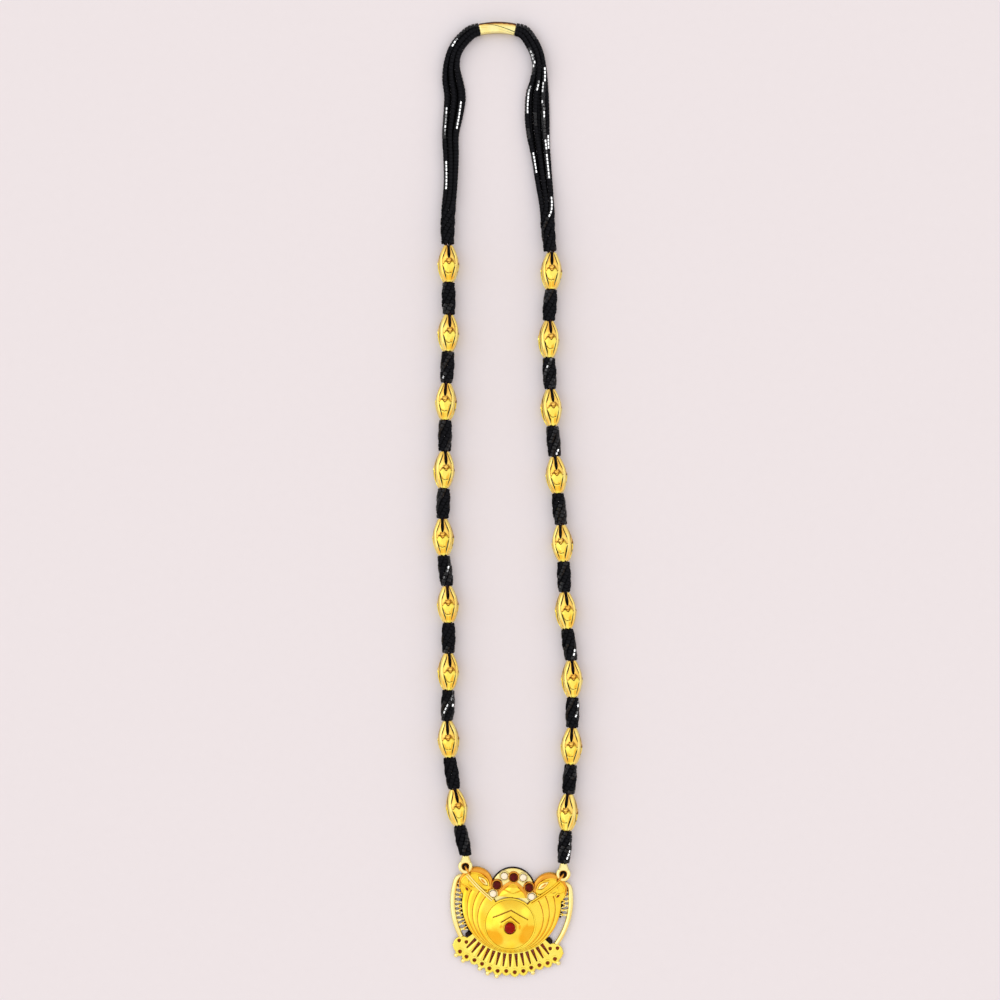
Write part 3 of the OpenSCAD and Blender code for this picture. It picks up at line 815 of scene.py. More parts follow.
@dataclass(frozen=True)
class Route:
    """The way of one side's bundle from the sleeve to the end ring."""

    side: Side
    rope_w: float = 5.2
    rope_pitch: float = 24.0
    rope_sag: float = 0.5
    end_share: float = 0.86
    ring_end_w: float = 4.2
    fine: int = 28
    # Places along the upper run, counted in knots of its table
    knot_steps: int = 8
    lift_from: float = 10.5
    lift_over: float = 3.5
    round_after: float = 11.0
    twist_from: float = 12.4
    twist_full: float = 13.0
    # Depths of bundle between which its strings leave their two layers for a ring
    layered_depth: float = 4.0
    round_depth: float = 4.8

    def neck_top(self) -> np.ndarray:
        """Where the threads enter the end ring."""
        x, y = laid(self.side.value * RING_AT[0], RING_AT[1])
        return np.array([x + RING_NECK[0], y + RING_NECK[1]])

    def spot(self, i: int) -> np.ndarray:
        """The middle of the i-th gold bead."""
        return np.array(BEAD_SPOTS[self.side][i])

    def bead_heading(self, i: int) -> float:
        """Finds the direction of a gold bead's axis.

        Args:
            i: the bead's number.

        Returns:
            The direction down the string, in degrees.
        """
        spots = BEAD_SPOTS[self.side]
        before = np.array(RUNS[self.side][-1][:2]) if i == 0 else self.spot(i - 1)
        after = self.neck_top() if i == len(spots) - 1 else self.spot(i + 1)
        return math.degrees(math.atan2(after[1] - before[1], after[0] - before[0]))

    def on_axis(self, i: int, way: float) -> np.ndarray:
        """A point on the i-th gold bead's axis, a given way down the string."""
        a = math.radians(self.bead_heading(i))
        return self.spot(i) + way * np.array([math.cos(a), math.sin(a)])

    def ends(self, i: int) -> tuple[np.ndarray, np.ndarray]:
        """Finds the two ends of the stretch after a gold bead.

        Args:
            i: the bead's number.

        Returns:
            The end at the bead, and the end at the next bead or at the end ring.
        """
        a = self.on_axis(i, BEAD_LEN / 2 + END_GAP)
        if i == len(BEAD_SPOTS[self.side]) - 1:
            return a, self.neck_top() + (0, NECK_GAP)
        return a, self.on_axis(i + 1, -BEAD_LEN / 2 - END_GAP)

    def turn_at(self, i: int) -> float:
        """Finds the bundle's turn as it runs straight through a gold bead.

        Args:
            i: the bead's number.

        Returns:
            The turn in degrees.
        """
        turn = RUNS[self.side][-1][4]
        for k in range(i):
            a, b = self.ends(k)
            turn += 360 * float(np.linalg.norm(b - a)) / self.rope_pitch
        return turn

    def run(self) -> Stretch:
        """Lays the upper run, from the sleeve to the first gold bead.

        Returns:
            The stretch.
        """
        rows = curve_through(np.array(RUNS[self.side], float), self.knot_steps)
        heading = np.degrees(np.unwrap(np.arctan2(np.gradient(rows[:, 1]), np.gradient(rows[:, 0]))))
        knot = np.arange(len(rows)) / self.knot_steps
        lift = np.clip((knot - self.lift_from) / self.lift_over, 0, 1) ** 2
        z = rows[:, 3] / 2 * (1 - lift) + BEAD_R * lift
        roundness = ease(self.layered_depth, self.round_depth, rows[:, 3]) * (knot > self.round_after)
        roundness = np.maximum(roundness, ease(self.twist_from, self.twist_full, knot))
        return Stretch(np.column_stack([
            rows[:, 0], rows[:, 1], z, heading, rows[:, 2] / 2, rows[:, 3] / 2, rows[:, 4], roundness]))

    def between(self, i: int) -> Stretch:
        """Lays the twisted stretch after a gold bead.

        Args:
            i: the bead's number.

        Returns:
            The stretch.
        """
        a, b = self.ends(i)
        angle_a, angle_b = self.bead_heading(i), -90.0
        z_b, end_w = RING_Z, self.ring_end_w
        if i < len(BEAD_SPOTS[self.side]) - 1:
            angle_b, z_b, end_w = self.bead_heading(i + 1), BEAD_R, self.rope_w * self.end_share
        t = np.linspace(0, 1, self.fine)
        swell = np.sin(np.pi * t)
        width = mix(self.rope_w * self.end_share, end_w, t)
        half = width / 2 + (self.rope_w - width) / 2 * swell
        z = mix(BEAD_R, z_b, t) - self.rope_sag * swell
        turn = mix(self.turn_at(i), self.turn_at(i + 1), t)
        return Stretch(np.column_stack([
            mix(a[0], b[0], t), mix(a[1], b[1], t), z, mix(angle_a, angle_b, t), half,
            np.minimum(half, z - 0.1), turn, np.ones_like(t)]))

    def stretches(self) -> list[Stretch]:
        """All stretches in order from the neck down."""
        return [self.run()] + [self.between(i) for i in range(len(BEAD_SPOTS[self.side]))]


@dataclass
class BeadStrings:
    """One side's six strings of black seed beads, with the threads that show between them."""

    side: Side
    finishes: Finishes
    strings: int = 6
    seed_w: float = 1.62
    seed_len: float = 1.22
    seed_hole: float = 0.5
    pitch: float = 1.29
    seed_sides: int = 10
    size_spread: float = 0.03
    # A facet of a polished seed faces halfway between straight up and the right-hand glint light.
    facet_aim: float = 0.33
    aim_spread: float = 0.14
    twist_spread: float = 0.5
    twist_shine: float = 0.42
    tilt_spread: float = 0.05
    lot_size: tuple[int, int] = (3, 8)
    thread_w: float = 0.62
    thread_sides: int = 7
    bundle_in_bore: float = 0.66
    # Radius of the threads drawn together in a ring's neck, their spread there and how far in they go
    neck_thread_r: float = 0.22
    neck_spread: float = 0.3
    neck_reach: float = 1.4
    # A bundle wider than this lies in two layers, shifted apart more and more over the next widths
    flat_from: float = 4.8
    flat_over: float = 4.2
    flat_shift: float = 0.73

    # Share of polished seeds in each of the six strings of the upper run
    SHINE: dict[Side, tuple[float, ...]] = field(default_factory=lambda: {
        Side.LEFT: (0.05, 0.25, 0.12, 0.40, 0.05, 0.05),
        Side.RIGHT: (0.05, 0.80, 0.15, 0.55, 0.05, 0.05)})

    def string_angle(self, k: int) -> float:
        """The k-th string's place round an unturned bundle, in degrees."""
        return 360 / self.strings * (k - 0.5)

    def offsets(self, rows: np.ndarray, k: int) -> np.ndarray:
        """Where the k-th string runs beside the bundle's middle line.

        Args:
            rows: a stretch's rows.
            k: the string's number.

        Returns:
            How far it lies across and above, at each row.
        """
        half_w, half_d = rows[:, 4] - self.seed_w / 2, rows[:, 5] - self.seed_w / 2
        angle = np.radians(self.string_angle(k) + rows[:, 6])
        ring = np.stack([half_w * np.cos(angle), half_d * np.sin(angle)], -1)
        shift = self.flat_shift * np.clip((2 * rows[:, 4] - self.flat_from) / self.flat_over, 0, 1)
        upper = k in (1, 2, 3)
        place = {1: 1, 2: 0, 3: -1, 0: 1, 5: 0, 4: -1}[k]
        layer = np.stack([
            place * (half_w - shift) + (-shift if upper else shift),
            half_d * (1 if upper else -1)], -1)
        share = rows[:, 7:8]
        return ring * share + layer * (1 - share)

    def string_path(self, stretch: Stretch, k: int) -> np.ndarray:
        """Finds the middle line of a string in a stretch.

        Args:
            stretch: the stretch.
            k: the string's number.

        Returns:
            The line's points, none of them so low that a seed bead would sink into the paper.
        """
        rows = stretch.rows
        off = self.offsets(rows, k)
        a = np.radians(rows[:, 3])
        across = np.stack([-np.sin(a), np.cos(a), np.zeros_like(a)], -1)
        path = rows[:, :3] + across * off[:, :1]
        path[:, 2] += off[:, 1]
        path[:, 2] = np.maximum(path[:, 2], self.seed_w / 2 + 0.05)
        return path

    def seed_profile(self) -> np.ndarray:
        """Draws the half section of one seed bead.

        Returns:
            Radius and place along the bore of its corners: its cut outside, then its bore.
        """
        r, h = self.seed_w / 2, self.seed_len / 2
        return np.array([
            (self.seed_hole / 2, -h * 0.94), (r * 0.84, -h), (r, -h * 0.8),
            (r, h * 0.8), (r * 0.84, h), (self.seed_hole / 2, h * 0.94)])

    def seeds(self, shell: Shell, path: np.ndarray, shine: float, spread: float,
              luck: random.Random) -> None:
        """Threads beads along a path, in lots that are all worn or all polished.

        Args:
            shell: takes the faces.
            path: the string's middle line.
            shine: the share of polished lots.
            spread: how far a polished lot's facets turn from the aim, in radians.
            luck: the source of small differences.
        """
        steps = np.linalg.norm(np.diff(path, axis=0), axis=1)
        place = np.concatenate([[0], np.cumsum(steps)])
        count = max(1, round(place[-1] / self.pitch))
        pitch = place[-1] / count
        profile = self.seed_profile()
        turns = np.arange(self.seed_sides) / self.seed_sides * 2 * np.pi

        def on_path(way: float) -> np.ndarray:
            """The point that lies a given way along the path."""
            return np.array([np.interp(way, place, path[:, c]) for c in range(3)])

        in_lot, polished, aim = 0, False, 0.0
        for i in range(count):
            if in_lot == 0:
                in_lot, polished = luck.randint(*self.lot_size), luck.random() < shine
                aim = self.facet_aim + luck.uniform(-1, 1) * (spread if polished else math.pi)
            in_lot -= 1
            at = (i + 0.5) * pitch
            ahead = on_path(at + 0.3) - on_path(at - 0.3)
            tilt = np.array([luck.uniform(-1, 1) for _ in range(3)]) * self.tilt_spread
            ahead += tilt * np.linalg.norm(ahead)
            ahead /= np.linalg.norm(ahead)
            side = np.cross(ahead, (0, 0, 1))
            side /= np.linalg.norm(side)
            rise = np.cross(side, ahead)
            wide = 1 + luck.uniform(-1, 1) * self.size_spread
            long = min(1.0, pitch / self.pitch) * (1 + luck.uniform(-1, 0.2) * self.size_spread)
            spin = turns + aim
            ring = np.cos(spin)[:, None] * side + np.sin(spin)[:, None] * rise
            rows = (on_path(at) + ahead * (profile[:, 1] * long)[:, None, None]
                    + ring[None] * (profile[:, 0] * wide)[:, None, None])
            shell.grid(rows, ring_rows=True, ring_cols=True, finish=int(polished))

    def threads(self, shell: Shell, route: Route) -> None:
        """Lays the bare threads through the gold beads and into the end ring's neck.

        Args:
            shell: takes the faces.
            route: the bundle's way.
        """
        stretches = route.stretches()
        rise = np.array([0.0, 0.0, 1.0])
        for k in range(self.strings):
            finish = k % 2
            for i in range(len(stretches) - 1):
                first = self.string_path(stretches[i], k)[-2]
                final = self.string_path(stretches[i + 1], k)[1]
                turn = math.radians(self.string_angle(k) + route.turn_at(i))
                h = math.radians(route.bead_heading(i))
                across = np.array([-math.sin(h), math.cos(h), 0])
                off = self.bundle_in_bore * (across * math.cos(turn) + rise * math.sin(turn))
                path = [first]
                for way in np.linspace(-BEAD_LEN / 2, BEAD_LEN / 2, 6):
                    path.append(np.append(route.on_axis(i, way), BEAD_R) + off)
                path.append(final)
                shell.tube(np.array(path), self.thread_w / 2, self.thread_sides, finish=finish)
            end = self.string_path(stretches[-1], k)[-2]
            neck = np.append(route.neck_top(), RING_Z)
            angle = math.radians(self.string_angle(k))
            off = self.neck_spread * np.array([math.cos(angle), 0, math.sin(angle)])
            path = np.array([end, neck + off + (0, 0.1, 0), neck + off - (0, self.neck_reach, 0)])
            shell.tube(path, self.neck_thread_r, self.thread_sides, finish=finish)

    def dress(self) -> bpy.types.Object:
        """Makes the seed beads and the threads, which stand for the side's bundle.

        Returns:
            The seed beads.
        """
        luck = random.Random(11 + self.side.value)
        route = Route(self.side)
        shell = Shell()
        for i, stretch in enumerate(route.stretches()):
            for k in range(self.strings):
                shine, spread = self.twist_shine, self.twist_spread
                if i == 0:
                    shine, spread = self.SHINE[self.side][k], self.aim_spread
                self.seeds(shell, self.string_path(stretch, k), shine, spread, luck)
        node = f"{self.side.word}_strand"
        seeds = set_in_place(f"{self.side.word}_seed_beads", shell.mesh("seed_beads"),
                             [self.finishes.black, self.finishes.polished_black], [node],
                             crisp=30)
        threads = Shell()
        self.threads(threads, route)
        set_in_place(f"{self.side.word}_threads", threads.mesh("threads"),
                     [self.finishes.black_thread, self.finishes.maroon_thread], [node],
                     crisp=None)
        return seeds


class BeadFinish(Enum):
    """The finishes of a gold bead, in the order of its mesh's numbers."""

    SHIELD = 0
    INSIDE = 1
    PANEL = 2
    FIN = 3
    BROWN_SHADE = 4


@dataclass
class GoldBeads:
    """Eighteen gold beads: thin stamped shells with three fins and three shield-shaped panels."""

    finishes: Finishes
    shell_t: float = 0.35
    panels: int = 3
    slit: float = 8.0
    hairline: float = 1.5
    notch_end: float = 0.26
    notch_share: float = 0.9
    roll_spread: float = 14.0
    across: int = 24
    down: int = 60
    fin_across: int = 8
    # The stamped pattern, in millimetres on the panel
    boss_at: float = 1.05
    boss_half: Pair = (0.85, 0.5)
    boss_rise: float = 0.34
    shield_rise: float = 0.24
    ridge_rise: float = 0.12
    hook_at: float = -2.6
    hook_half: Pair = (1.5, 1.0)
    line_depth: float = 0.22
    # Columns: place along the half length, fin radius as a share, panel radius as a share, seam's angle
    FORM: tuple[tuple[float, ...], ...] = (
        (-1.00, 0.46, 0.44, 26), (-0.84, 0.66, 0.64, 28), (-0.54, 0.87, 0.86, 35), (-0.20, 0.98, 0.98, 42),
        (0.10, 1.00, 1.00, 45), (0.36, 0.94, 0.94, 44), (0.58, 0.82, 0.81, 38), (0.80, 0.65, 0.64, 31),
        (1.00, 0.46, 0.45, 27))

    def heart(self, x: np.ndarray) -> np.ndarray:
        """The height up the panel, in millimetres, of the shield's heart-shaped top edge."""
        return 0.15 - 0.55 * np.cos(np.clip(np.abs(x) / 1.15, 0, 2) * np.pi)

    def relief(self, x: np.ndarray, y: np.ndarray) -> tuple[np.ndarray, np.ndarray]:
        """The stamped pattern on a panel: a boss, an arch over it and a heart-topped shield below.

        Args:
            x: place across the panel in millimetres.
            y: place up the panel in millimetres.

        Returns:
            The added height in millimetres, and how deep in a stamped line each point lies, from 0 to 1.
        """
        boss_r = np.hypot(x / self.boss_half[0], (y - self.boss_at) / self.boss_half[1])
        boss = self.boss_rise * np.clip(1 - boss_r ** 2, 0, 1) ** 0.5
        above = y - self.heart(x)
        shield = self.shield_rise * ease(0.05, -0.15, above)
        ridge = self.ridge_rise * np.exp(-(x / 0.25) ** 2) * ease(-1.6, -2.4, y)
        line = np.maximum(np.exp(-((above - 0.12) / 0.17) ** 2), np.exp(-((boss_r - 1.25) / 0.20) ** 2))
        hook = np.hypot(x / self.hook_half[0], (y - self.hook_at) / self.hook_half[1])
        line = np.maximum(line, np.exp(-((hook - 1) / 0.13) ** 2) * (y < self.hook_at) * (x < 0.7))
        line *= ease(2.0, 1.7, y)
        return boss + shield + ridge - self.line_depth * line, line

    def sheet(self, place: np.ndarray, angle: np.ndarray, radius: np.ndarray) -> np.ndarray:
        """Points from place along the axis, angle round it in degrees and radius in millimetres."""
        a = np.radians(angle)
        return np.stack([radius * np.sin(a), place * BEAD_LEN / 2, radius * np.cos(a)], -1)

    def panel(self, shell: Shell, middle: float) -> None:
        """Adds a panel.

        Args:
            shell: takes the faces.
            middle: the panel's angle round the bead, in degrees.
        """
        share = np.linspace(-1, 1, self.across + 1)[None, :]
        t = np.linspace(0, 1, self.down + 1)[:, None]
        top = self.notch_end + (1 - self.notch_end) * ease(0.0, self.notch_share, np.abs(share))
        place = -1 + (top + 1) * t
        gap = self.hairline + self.slit * (ease(-0.90, -0.66, place) * ease(-0.02, -0.30, place)
                                           + ease(0.18, 0.42, place) * ease(1.0, 0.80, place))
        angle = share * np.maximum(along(self.FORM, 3, place) - gap, 1.0)
        radius = BEAD_R * along(self.FORM, 2, place) * (1 - 0.05 * share ** 4)
        x, y = np.radians(angle) * radius, place * BEAD_LEN / 2
        edge = ease(1.0, 0.86, np.abs(share)) * ease(1.0, 0.96, t)
        height, line = self.relief(x, y)
        outer = radius + height * edge
        finish = np.where((y > self.heart(x))[:-1, :-1], BeadFinish.PANEL.value, BeadFinish.SHIELD.value)
        # The stamped lines are painted brown as shade.
        finish = np.where((line * edge)[:-1, :-1] > 0.5, BeadFinish.BROWN_SHADE.value, finish)
        shell.slab(self.sheet(place, middle + angle, outer),
                   self.sheet(place, middle + angle, radius - self.shell_t), BeadFinish.INSIDE.value, finish)

    def fin(self, shell: Shell, middle: float) -> None:
        """Adds a smooth fin beside a panel.

        Args:
            shell: takes the faces.
            middle: the panel's angle round the bead, in degrees.
        """
        place = np.repeat(np.linspace(-1, 1, 41)[:, None], self.fin_across + 1, 1)
        half = along(self.FORM, 3, place)
        share = np.linspace(0, 1, self.fin_across + 1)[None, :]
        angle = half + (360 / self.panels - 2 * half) * share
        radius = BEAD_R * along(self.FORM, 1, place) * (0.99 - 0.08 * np.abs(2 * share - 1) ** 4)
        shell.slab(self.sheet(place, middle + angle, radius),
                   self.sheet(place, middle + angle, radius - self.shell_t * 1.15),
                   BeadFinish.INSIDE.value, BeadFinish.FIN.value)

    def shape(self) -> Shell:
        """Builds the bead along +Y, with a panel facing up and its slots at the +Y end.

        Returns:
            The bead round the origin.
        """
        shell = Shell()
        for k in range(self.panels):
            self.panel(shell, k * 360 / self.panels)
            self.fin(shell, k * 360 / self.panels)
        return shell

    def dress(self) -> None:
        """Makes one mesh for each bead where it lies, standing for that bead's node."""
        shape = self.shape()
        # The inner sides take the near-black painted shade, so the slots and notches read dark.
        kinds = {BeadFinish.SHIELD: self.finishes.buffed_gold, BeadFinish.INSIDE: self.finishes.inside,
                 BeadFinish.PANEL: self.finishes.sheet_gold, BeadFinish.FIN: self.finishes.fin_gold,
                 BeadFinish.BROWN_SHADE: self.finishes.brown_shade}
        luck = random.Random(7)
        for side in Side:
            route = Route(side)
            for i in range(len(BEAD_SPOTS[side])):
                spot, heading = route.spot(i), route.bead_heading(i) + 90
                roll = luck.uniform(-1, 1) * self.roll_spread

                def lay(points: np.ndarray) -> np.ndarray:
                    """Lays this bead in its place, rolled a little on its threads.

                    Args:
                        points: the bead's points round the origin.

                    Returns:
                        The points in the loop's frame.
                    """
                    across, up = turned(points[:, 0], points[:, 2], roll)
                    x, y = turned(across, points[:, 1], heading)
                    return np.column_stack([x + spot[0], y + spot[1], up + BEAD_R])

                name = f"gold_bead_{side.word}_{i + 1}"
                set_in_place(f"{name}_shell", shape.shifted(lay).mesh(name),
                             [kinds[f] for f in BeadFinish], [name])


class SleeveFinish(Enum):
    """The finishes of the sleeve, in the order of its mesh's numbers."""

    SHEET = 0
    INSIDE = 1
    BROWN_SHADE = 2


@dataclass
class Sleeve:
    """The gold sleeve at the back of the neck: sheet wrapped round the threads with a slanting seam.

    Its outer side is painted brown and then near black, as painted shade where the sheet turns away from
    straight up.
    """

    finishes: Finishes
    length: float = 12.8
    width: float = 4.5
    wall: float = 0.4
    bend: float = 31.0
    lap: float = 0.22
    # Angles round the sleeve, from straight up towards its outer side
    seam_from: float = 50.0
    seam_to: float = -34.0
    crease_at: float = -34.0
    brown_shade_from: float = 30.0
    dark_shade_from: float = 47.0
    dark_shade_to: float = 100.0
    # Share of the way round, beyond which the sheet's edge is painted as a dark shadow line
    shadow_edge_share: float = 0.982
    around: int = 144
    down: int = 40

    def dress(self) -> None:
        """Makes the sleeve, which stands for its node."""
        t = np.linspace(-0.5, 0.5, self.down + 1)[:, None]
        u = np.linspace(0, 1, self.around + 1)[None, :]
        seam = mix(self.seam_from, self.seam_to, t + 0.5)
        ends = 1 - 0.05 * ease(0.46, 0.5, np.abs(t))
        crease = 0.13 * np.exp(-((360 * u - 360 - self.crease_at) / 5) ** 2)
        outer = (self.width / 2 - self.lap + self.lap * u - crease) * ends
        inner = self.width / 2 - self.wall - self.lap + self.lap * u + 0 * t
        a = np.radians(seam + 360 * u)
        way = t * self.length / self.bend
        shell = Shell()
        sheets = []
        for radius in (outer, inner):
            reach = self.bend + radius * np.sin(a)
            z = self.width / 2 + radius * np.cos(a)
            sheets.append(np.stack([SLEEVE_AT[0] + reach * np.sin(way),
                                    SLEEVE_AT[1] - self.bend + reach * np.cos(way), z], -1))
        round_it = (np.degrees(a) % 360)[:-1, :-1]
        # Painted shade: a brown band, then a near-black band as the sheet turns from straight up to its outer
        # side, and a dark shadow line at the seam's edge.
        stained = (round_it > self.brown_shade_from) & (round_it < self.dark_shade_from)
        dark = (round_it > self.dark_shade_from) & (round_it < self.dark_shade_to)
        finish = np.where(stained, SleeveFinish.BROWN_SHADE.value, SleeveFinish.SHEET.value)
        finish = np.where(dark | (u[:, :-1] > self.shadow_edge_share), SleeveFinish.INSIDE.value, finish)
        shell.slab(sheets[0], sheets[1], SleeveFinish.INSIDE.value, finish)
        kinds = {SleeveFinish.SHEET: self.finishes.pale_gold, SleeveFinish.INSIDE: self.finishes.inside,
                 SleeveFinish.BROWN_SHADE: self.finishes.brown_shade}
        set_in_place("back_sleeve_wrap", shell.mesh("sleeve"), [kinds[f] for f in SleeveFinish],
                     ["back_sleeve"])


class Metal(Enum):
    """The finishes of the pendant's metal, in the order of its meshes' numbers."""

    GOLD = 0
    PALE = 1
    SHADED_GOLD = 2
    HOLLOW_SHADE = 3
    INSIDE = 4
    SEAM = 5
    BROWN_SHADE = 6
    BUFFED = 7


@dataclass
class Pendant:
    """The gold pendant's metal, in its own frame with the bowl's middle as origin."""

    finishes: Finishes
    bowl_r: float = 9.5
    bowl_rise: float = 2.9
    rim_z: float = 2.7
    rim_w: float = 0.8
    crescent_r: float = 17.7
    crescent_y: float = 7.1
    horn_top: float = 14.9
    crown_y: float = 12.2
    crown_r: float = 7.7
    crown_z: float = 1.7
    # The crescent stays below these heights under a lobe and, this far round, under an outer cup.
    under_lobe: float = 2.0
    under_cup: float = 2.4
    cup_seat_r: float = 1.9
    lobe_at: Pair = (13.3, 13.3)
    lobe_r: float = 6.1
    field_at: Pair = (12.5, 20.4)
    field_r: float = 9.4
    field_z: float = 2.45
    comb_reach: float = 25.0
    comb_z: float = 1.35
    tip_r: float = 1.65
    slots: int = 14
    slot_pitch: float = 6.3
    big_grain: float = 0.84
    small_grain: float = 0.36
    # A side wire: middle and radius of its long arc, its own radius and its hook's
    wire_at: Pair = (-5.4, 8.0)
    wire_reach: float = 26.6
    wire_r: float = 0.92
    hook_r: float = 3.2
    # The teeth: where they stand on the wire's arc, the angles between them and their length
    teeth_reach: float = 26.2
    teeth_from: float = 10.5
    teeth_pitch: float = 1.9
    tooth_len: float = 3.4

    # Chevrons stamped on the bowl. Columns: peak, slope of the arms, where the arms fade out and are
    # full, step up, softness of the step, and the heights between which the step grows
    CHEVRONS: tuple[tuple[float, ...], ...] = (
        (5.3, 0.50, 6.8, 6.2, 0.22, 0.14, -2.5, 2.5), (3.1, 0.72, 3.8, 3.2, 0.24, 0.12, -1.5, 0.4))
    # Columns: share of the crescent's spread, height of the band's top
    BANDS: tuple[Pair, ...] = ((1.0, 1.9), (0.76, 2.3), (0.52, 2.7), (0.28, 3.1))
    # Columns: angle, radius of the tip's middle
    TIPS: tuple[Pair, ...] = (
        (0, 24.3), (7.2, 24.7), (14.4, 24.6), (21.6, 24.1), (28.8, 24.3), (35.8, 25.0), (42.6, 25.3))
    END_DISC: Triple = (45.4, 23.2, 3.3)
    END_HOLES: tuple[Pair, ...] = ((45.2, 21.3), (50.4, 23.0))
    END_GRAIN: Pair = (50.2, 24.2)
    # Angles of the tips whose droplets are large
    BIG_GRAINS: tuple[float, ...] = (-42.6, -35.8, -21.6, -14.4, -7.2, 21.6, 42.6)
    RED_AT: tuple[Pair, ...] = ((-5.8, 13.7), (0, 16.9), (5.8, 13.7))
    PALE_AT: tuple[Pair, ...] = ((-6.9, 10.5), (-3.4, 17.1), (3.4, 17.1), (6.9, 10.5))
    # Leaves of the right lobe. Columns: x, y, turn, length, width
    RAISED_LEAF: tuple[float, ...] = (10.8, 14.7, 38, 5.4, 2.7)
    SUNK_LEAF: tuple[float, ...] = (15.1, 13.2, 42, 3.4, 1.7)
    OPEN_LEAF: tuple[float, ...] = (16.4, 11.4, 45, 2.0, 1.1)

    def place(self, name: str, shell: Shell, slot: Slot = Slot.GOLD) -> None:
        """Lays a pendant piece in the loop's frame and stands it for the pendant's node.

        Args:
            name: the piece's name.
            shell: its faces, whose numbers are those of Metal.
            slot: not used.
        """
        def lay(points: np.ndarray) -> np.ndarray:
            """Turns points of the pendant's frame to the loop's."""
            x, y = laid(points[:, 0], points[:, 1])
            return np.column_stack([x, y, points[:, 2]])

        metals = {Metal.GOLD: self.finishes.gold, Metal.PALE: self.finishes.pale_gold,
                  Metal.SHADED_GOLD: self.finishes.shaded_gold, Metal.HOLLOW_SHADE: self.finishes.hollow_shade,
                  Metal.INSIDE: self.finishes.inside, Metal.SEAM: self.finishes.seam,
                  Metal.BROWN_SHADE: self.finishes.brown_shade, Metal.BUFFED: self.finishes.buffed_gold}
        moved = shell.shifted(lay)
        used = sorted(set(moved.finishes))
        moved.finishes = [used.index(k) for k in moved.finishes]
        set_in_place(name, moved.mesh(name), [metals[Metal(k)] for k in used], ["pendant"])

    def crescent_profile(self) -> tuple[np.ndarray, np.ndarray]:
        """The section of the crescent: rounded bands with a groove between each two.

        Returns:
            The shares of the crescent's spread, from its outer edge inwards, and the heights there.
        """
        round_drop, groove, groove_share = 0.34, 0.12, 0.032
        shares, heights = [1.012, 1.012], [0.0, self.BANDS[0][1] - round_drop - 0.5]
        for k, (share, top) in enumerate(self.BANDS):
            final = k + 1 == len(self.BANDS)
            inner = 0.0 if final else self.BANDS[k + 1][0] + groove_share
            for t in np.linspace(0, 1, 9):
                shares.append(mix(share, inner, t))
                heights.append(top - round_drop * (1 - t) ** 2.6)
            if not final:
                shares.append(inner - groove_share / 2)
                heights.append(top - groove)
        return np.array(shares + [0.0]), np.array(heights + [0.0])

    def crescent(self) -> Shell:
        """Builds the crescent: a stack of rounded bands that all touch near the comb and drift upward.

        Returns:
            The shell, in the pendant's own frame.
        """
        s, heights = self.crescent_profile()
        cy = self.crescent_y * s
        r = mix(self.bowl_r - 0.2, self.crescent_r, s)
        # Each line of the section runs up until it meets the horn's end or the crown.
        ends = []
        for y0, radius in zip(cy, r):
            phi = np.radians(np.linspace(60, 180, 1201))
            x, y = radius * np.sin(phi), y0 - radius * np.cos(phi)
            out = (y > self.horn_top) | (np.hypot(x, y - self.crown_y) < self.crown_r - 0.2)
            ends.append(phi[np.argmax(out)] if out.any() else np.pi)
        t = np.linspace(-1, 1, 161)[:, None]
        phi = t * np.array(ends)[None, :]
        x = r * np.sin(phi)
        y = cy - r * np.cos(phi)
        z = np.broadcast_to(heights, x.shape).copy()
        in_field = np.hypot(np.abs(x) - self.field_at[0], y - self.field_at[1]) < self.field_r
        z = np.where(in_field, np.minimum(z, self.under_lobe), z)
        seat = np.hypot(np.abs(x) - self.PALE_AT[-1][0], y - self.PALE_AT[-1][1]) < self.cup_seat_r
        z = np.where(seat, np.minimum(z, self.under_cup), z)
        shell = Shell()
        # Two starting corners, then each band's nine and the groove's one
        corner = np.arange(len(s))[None, :]
        grooved = ((corner - 2) % 10 >= 8) & (corner < len(s) - 3) & (corner > 2)
        # The grooves between the bands are painted amber as shade.
        shell.rings(np.stack([x, y, z], -1), np.where(grooved, Metal.SEAM.value, Metal.GOLD.value))
        return shell

    def dome_relief(self, x: np.ndarray, y: np.ndarray) -> tuple[np.ndarray, np.ndarray]:
        """Finds the height of the stamped work on the bowl: a gable over the stone and a hood round it.

        Args:
            x: place across the bowl.
            y: place up the bowl.

        Returns:
            The added height, and how deep in a stamped line each point lies, from 0 to 1.
        """
        far = np.abs(x)
        step, line = np.zeros_like(far), np.zeros_like(far)
        for peak, slope, none_at, full_at, rise, soft, low, high in self.CHEVRONS:
            below = (peak - slope * far) - y
            arms = ease(none_at, full_at, far)
            step += rise * ease(-0.10, soft, below) * ease(low, high, y) * arms
            line = np.maximum(line, np.exp(-((below + 0.12) / 0.19) ** 2) * arms)
        return step - 0.2 * line, line

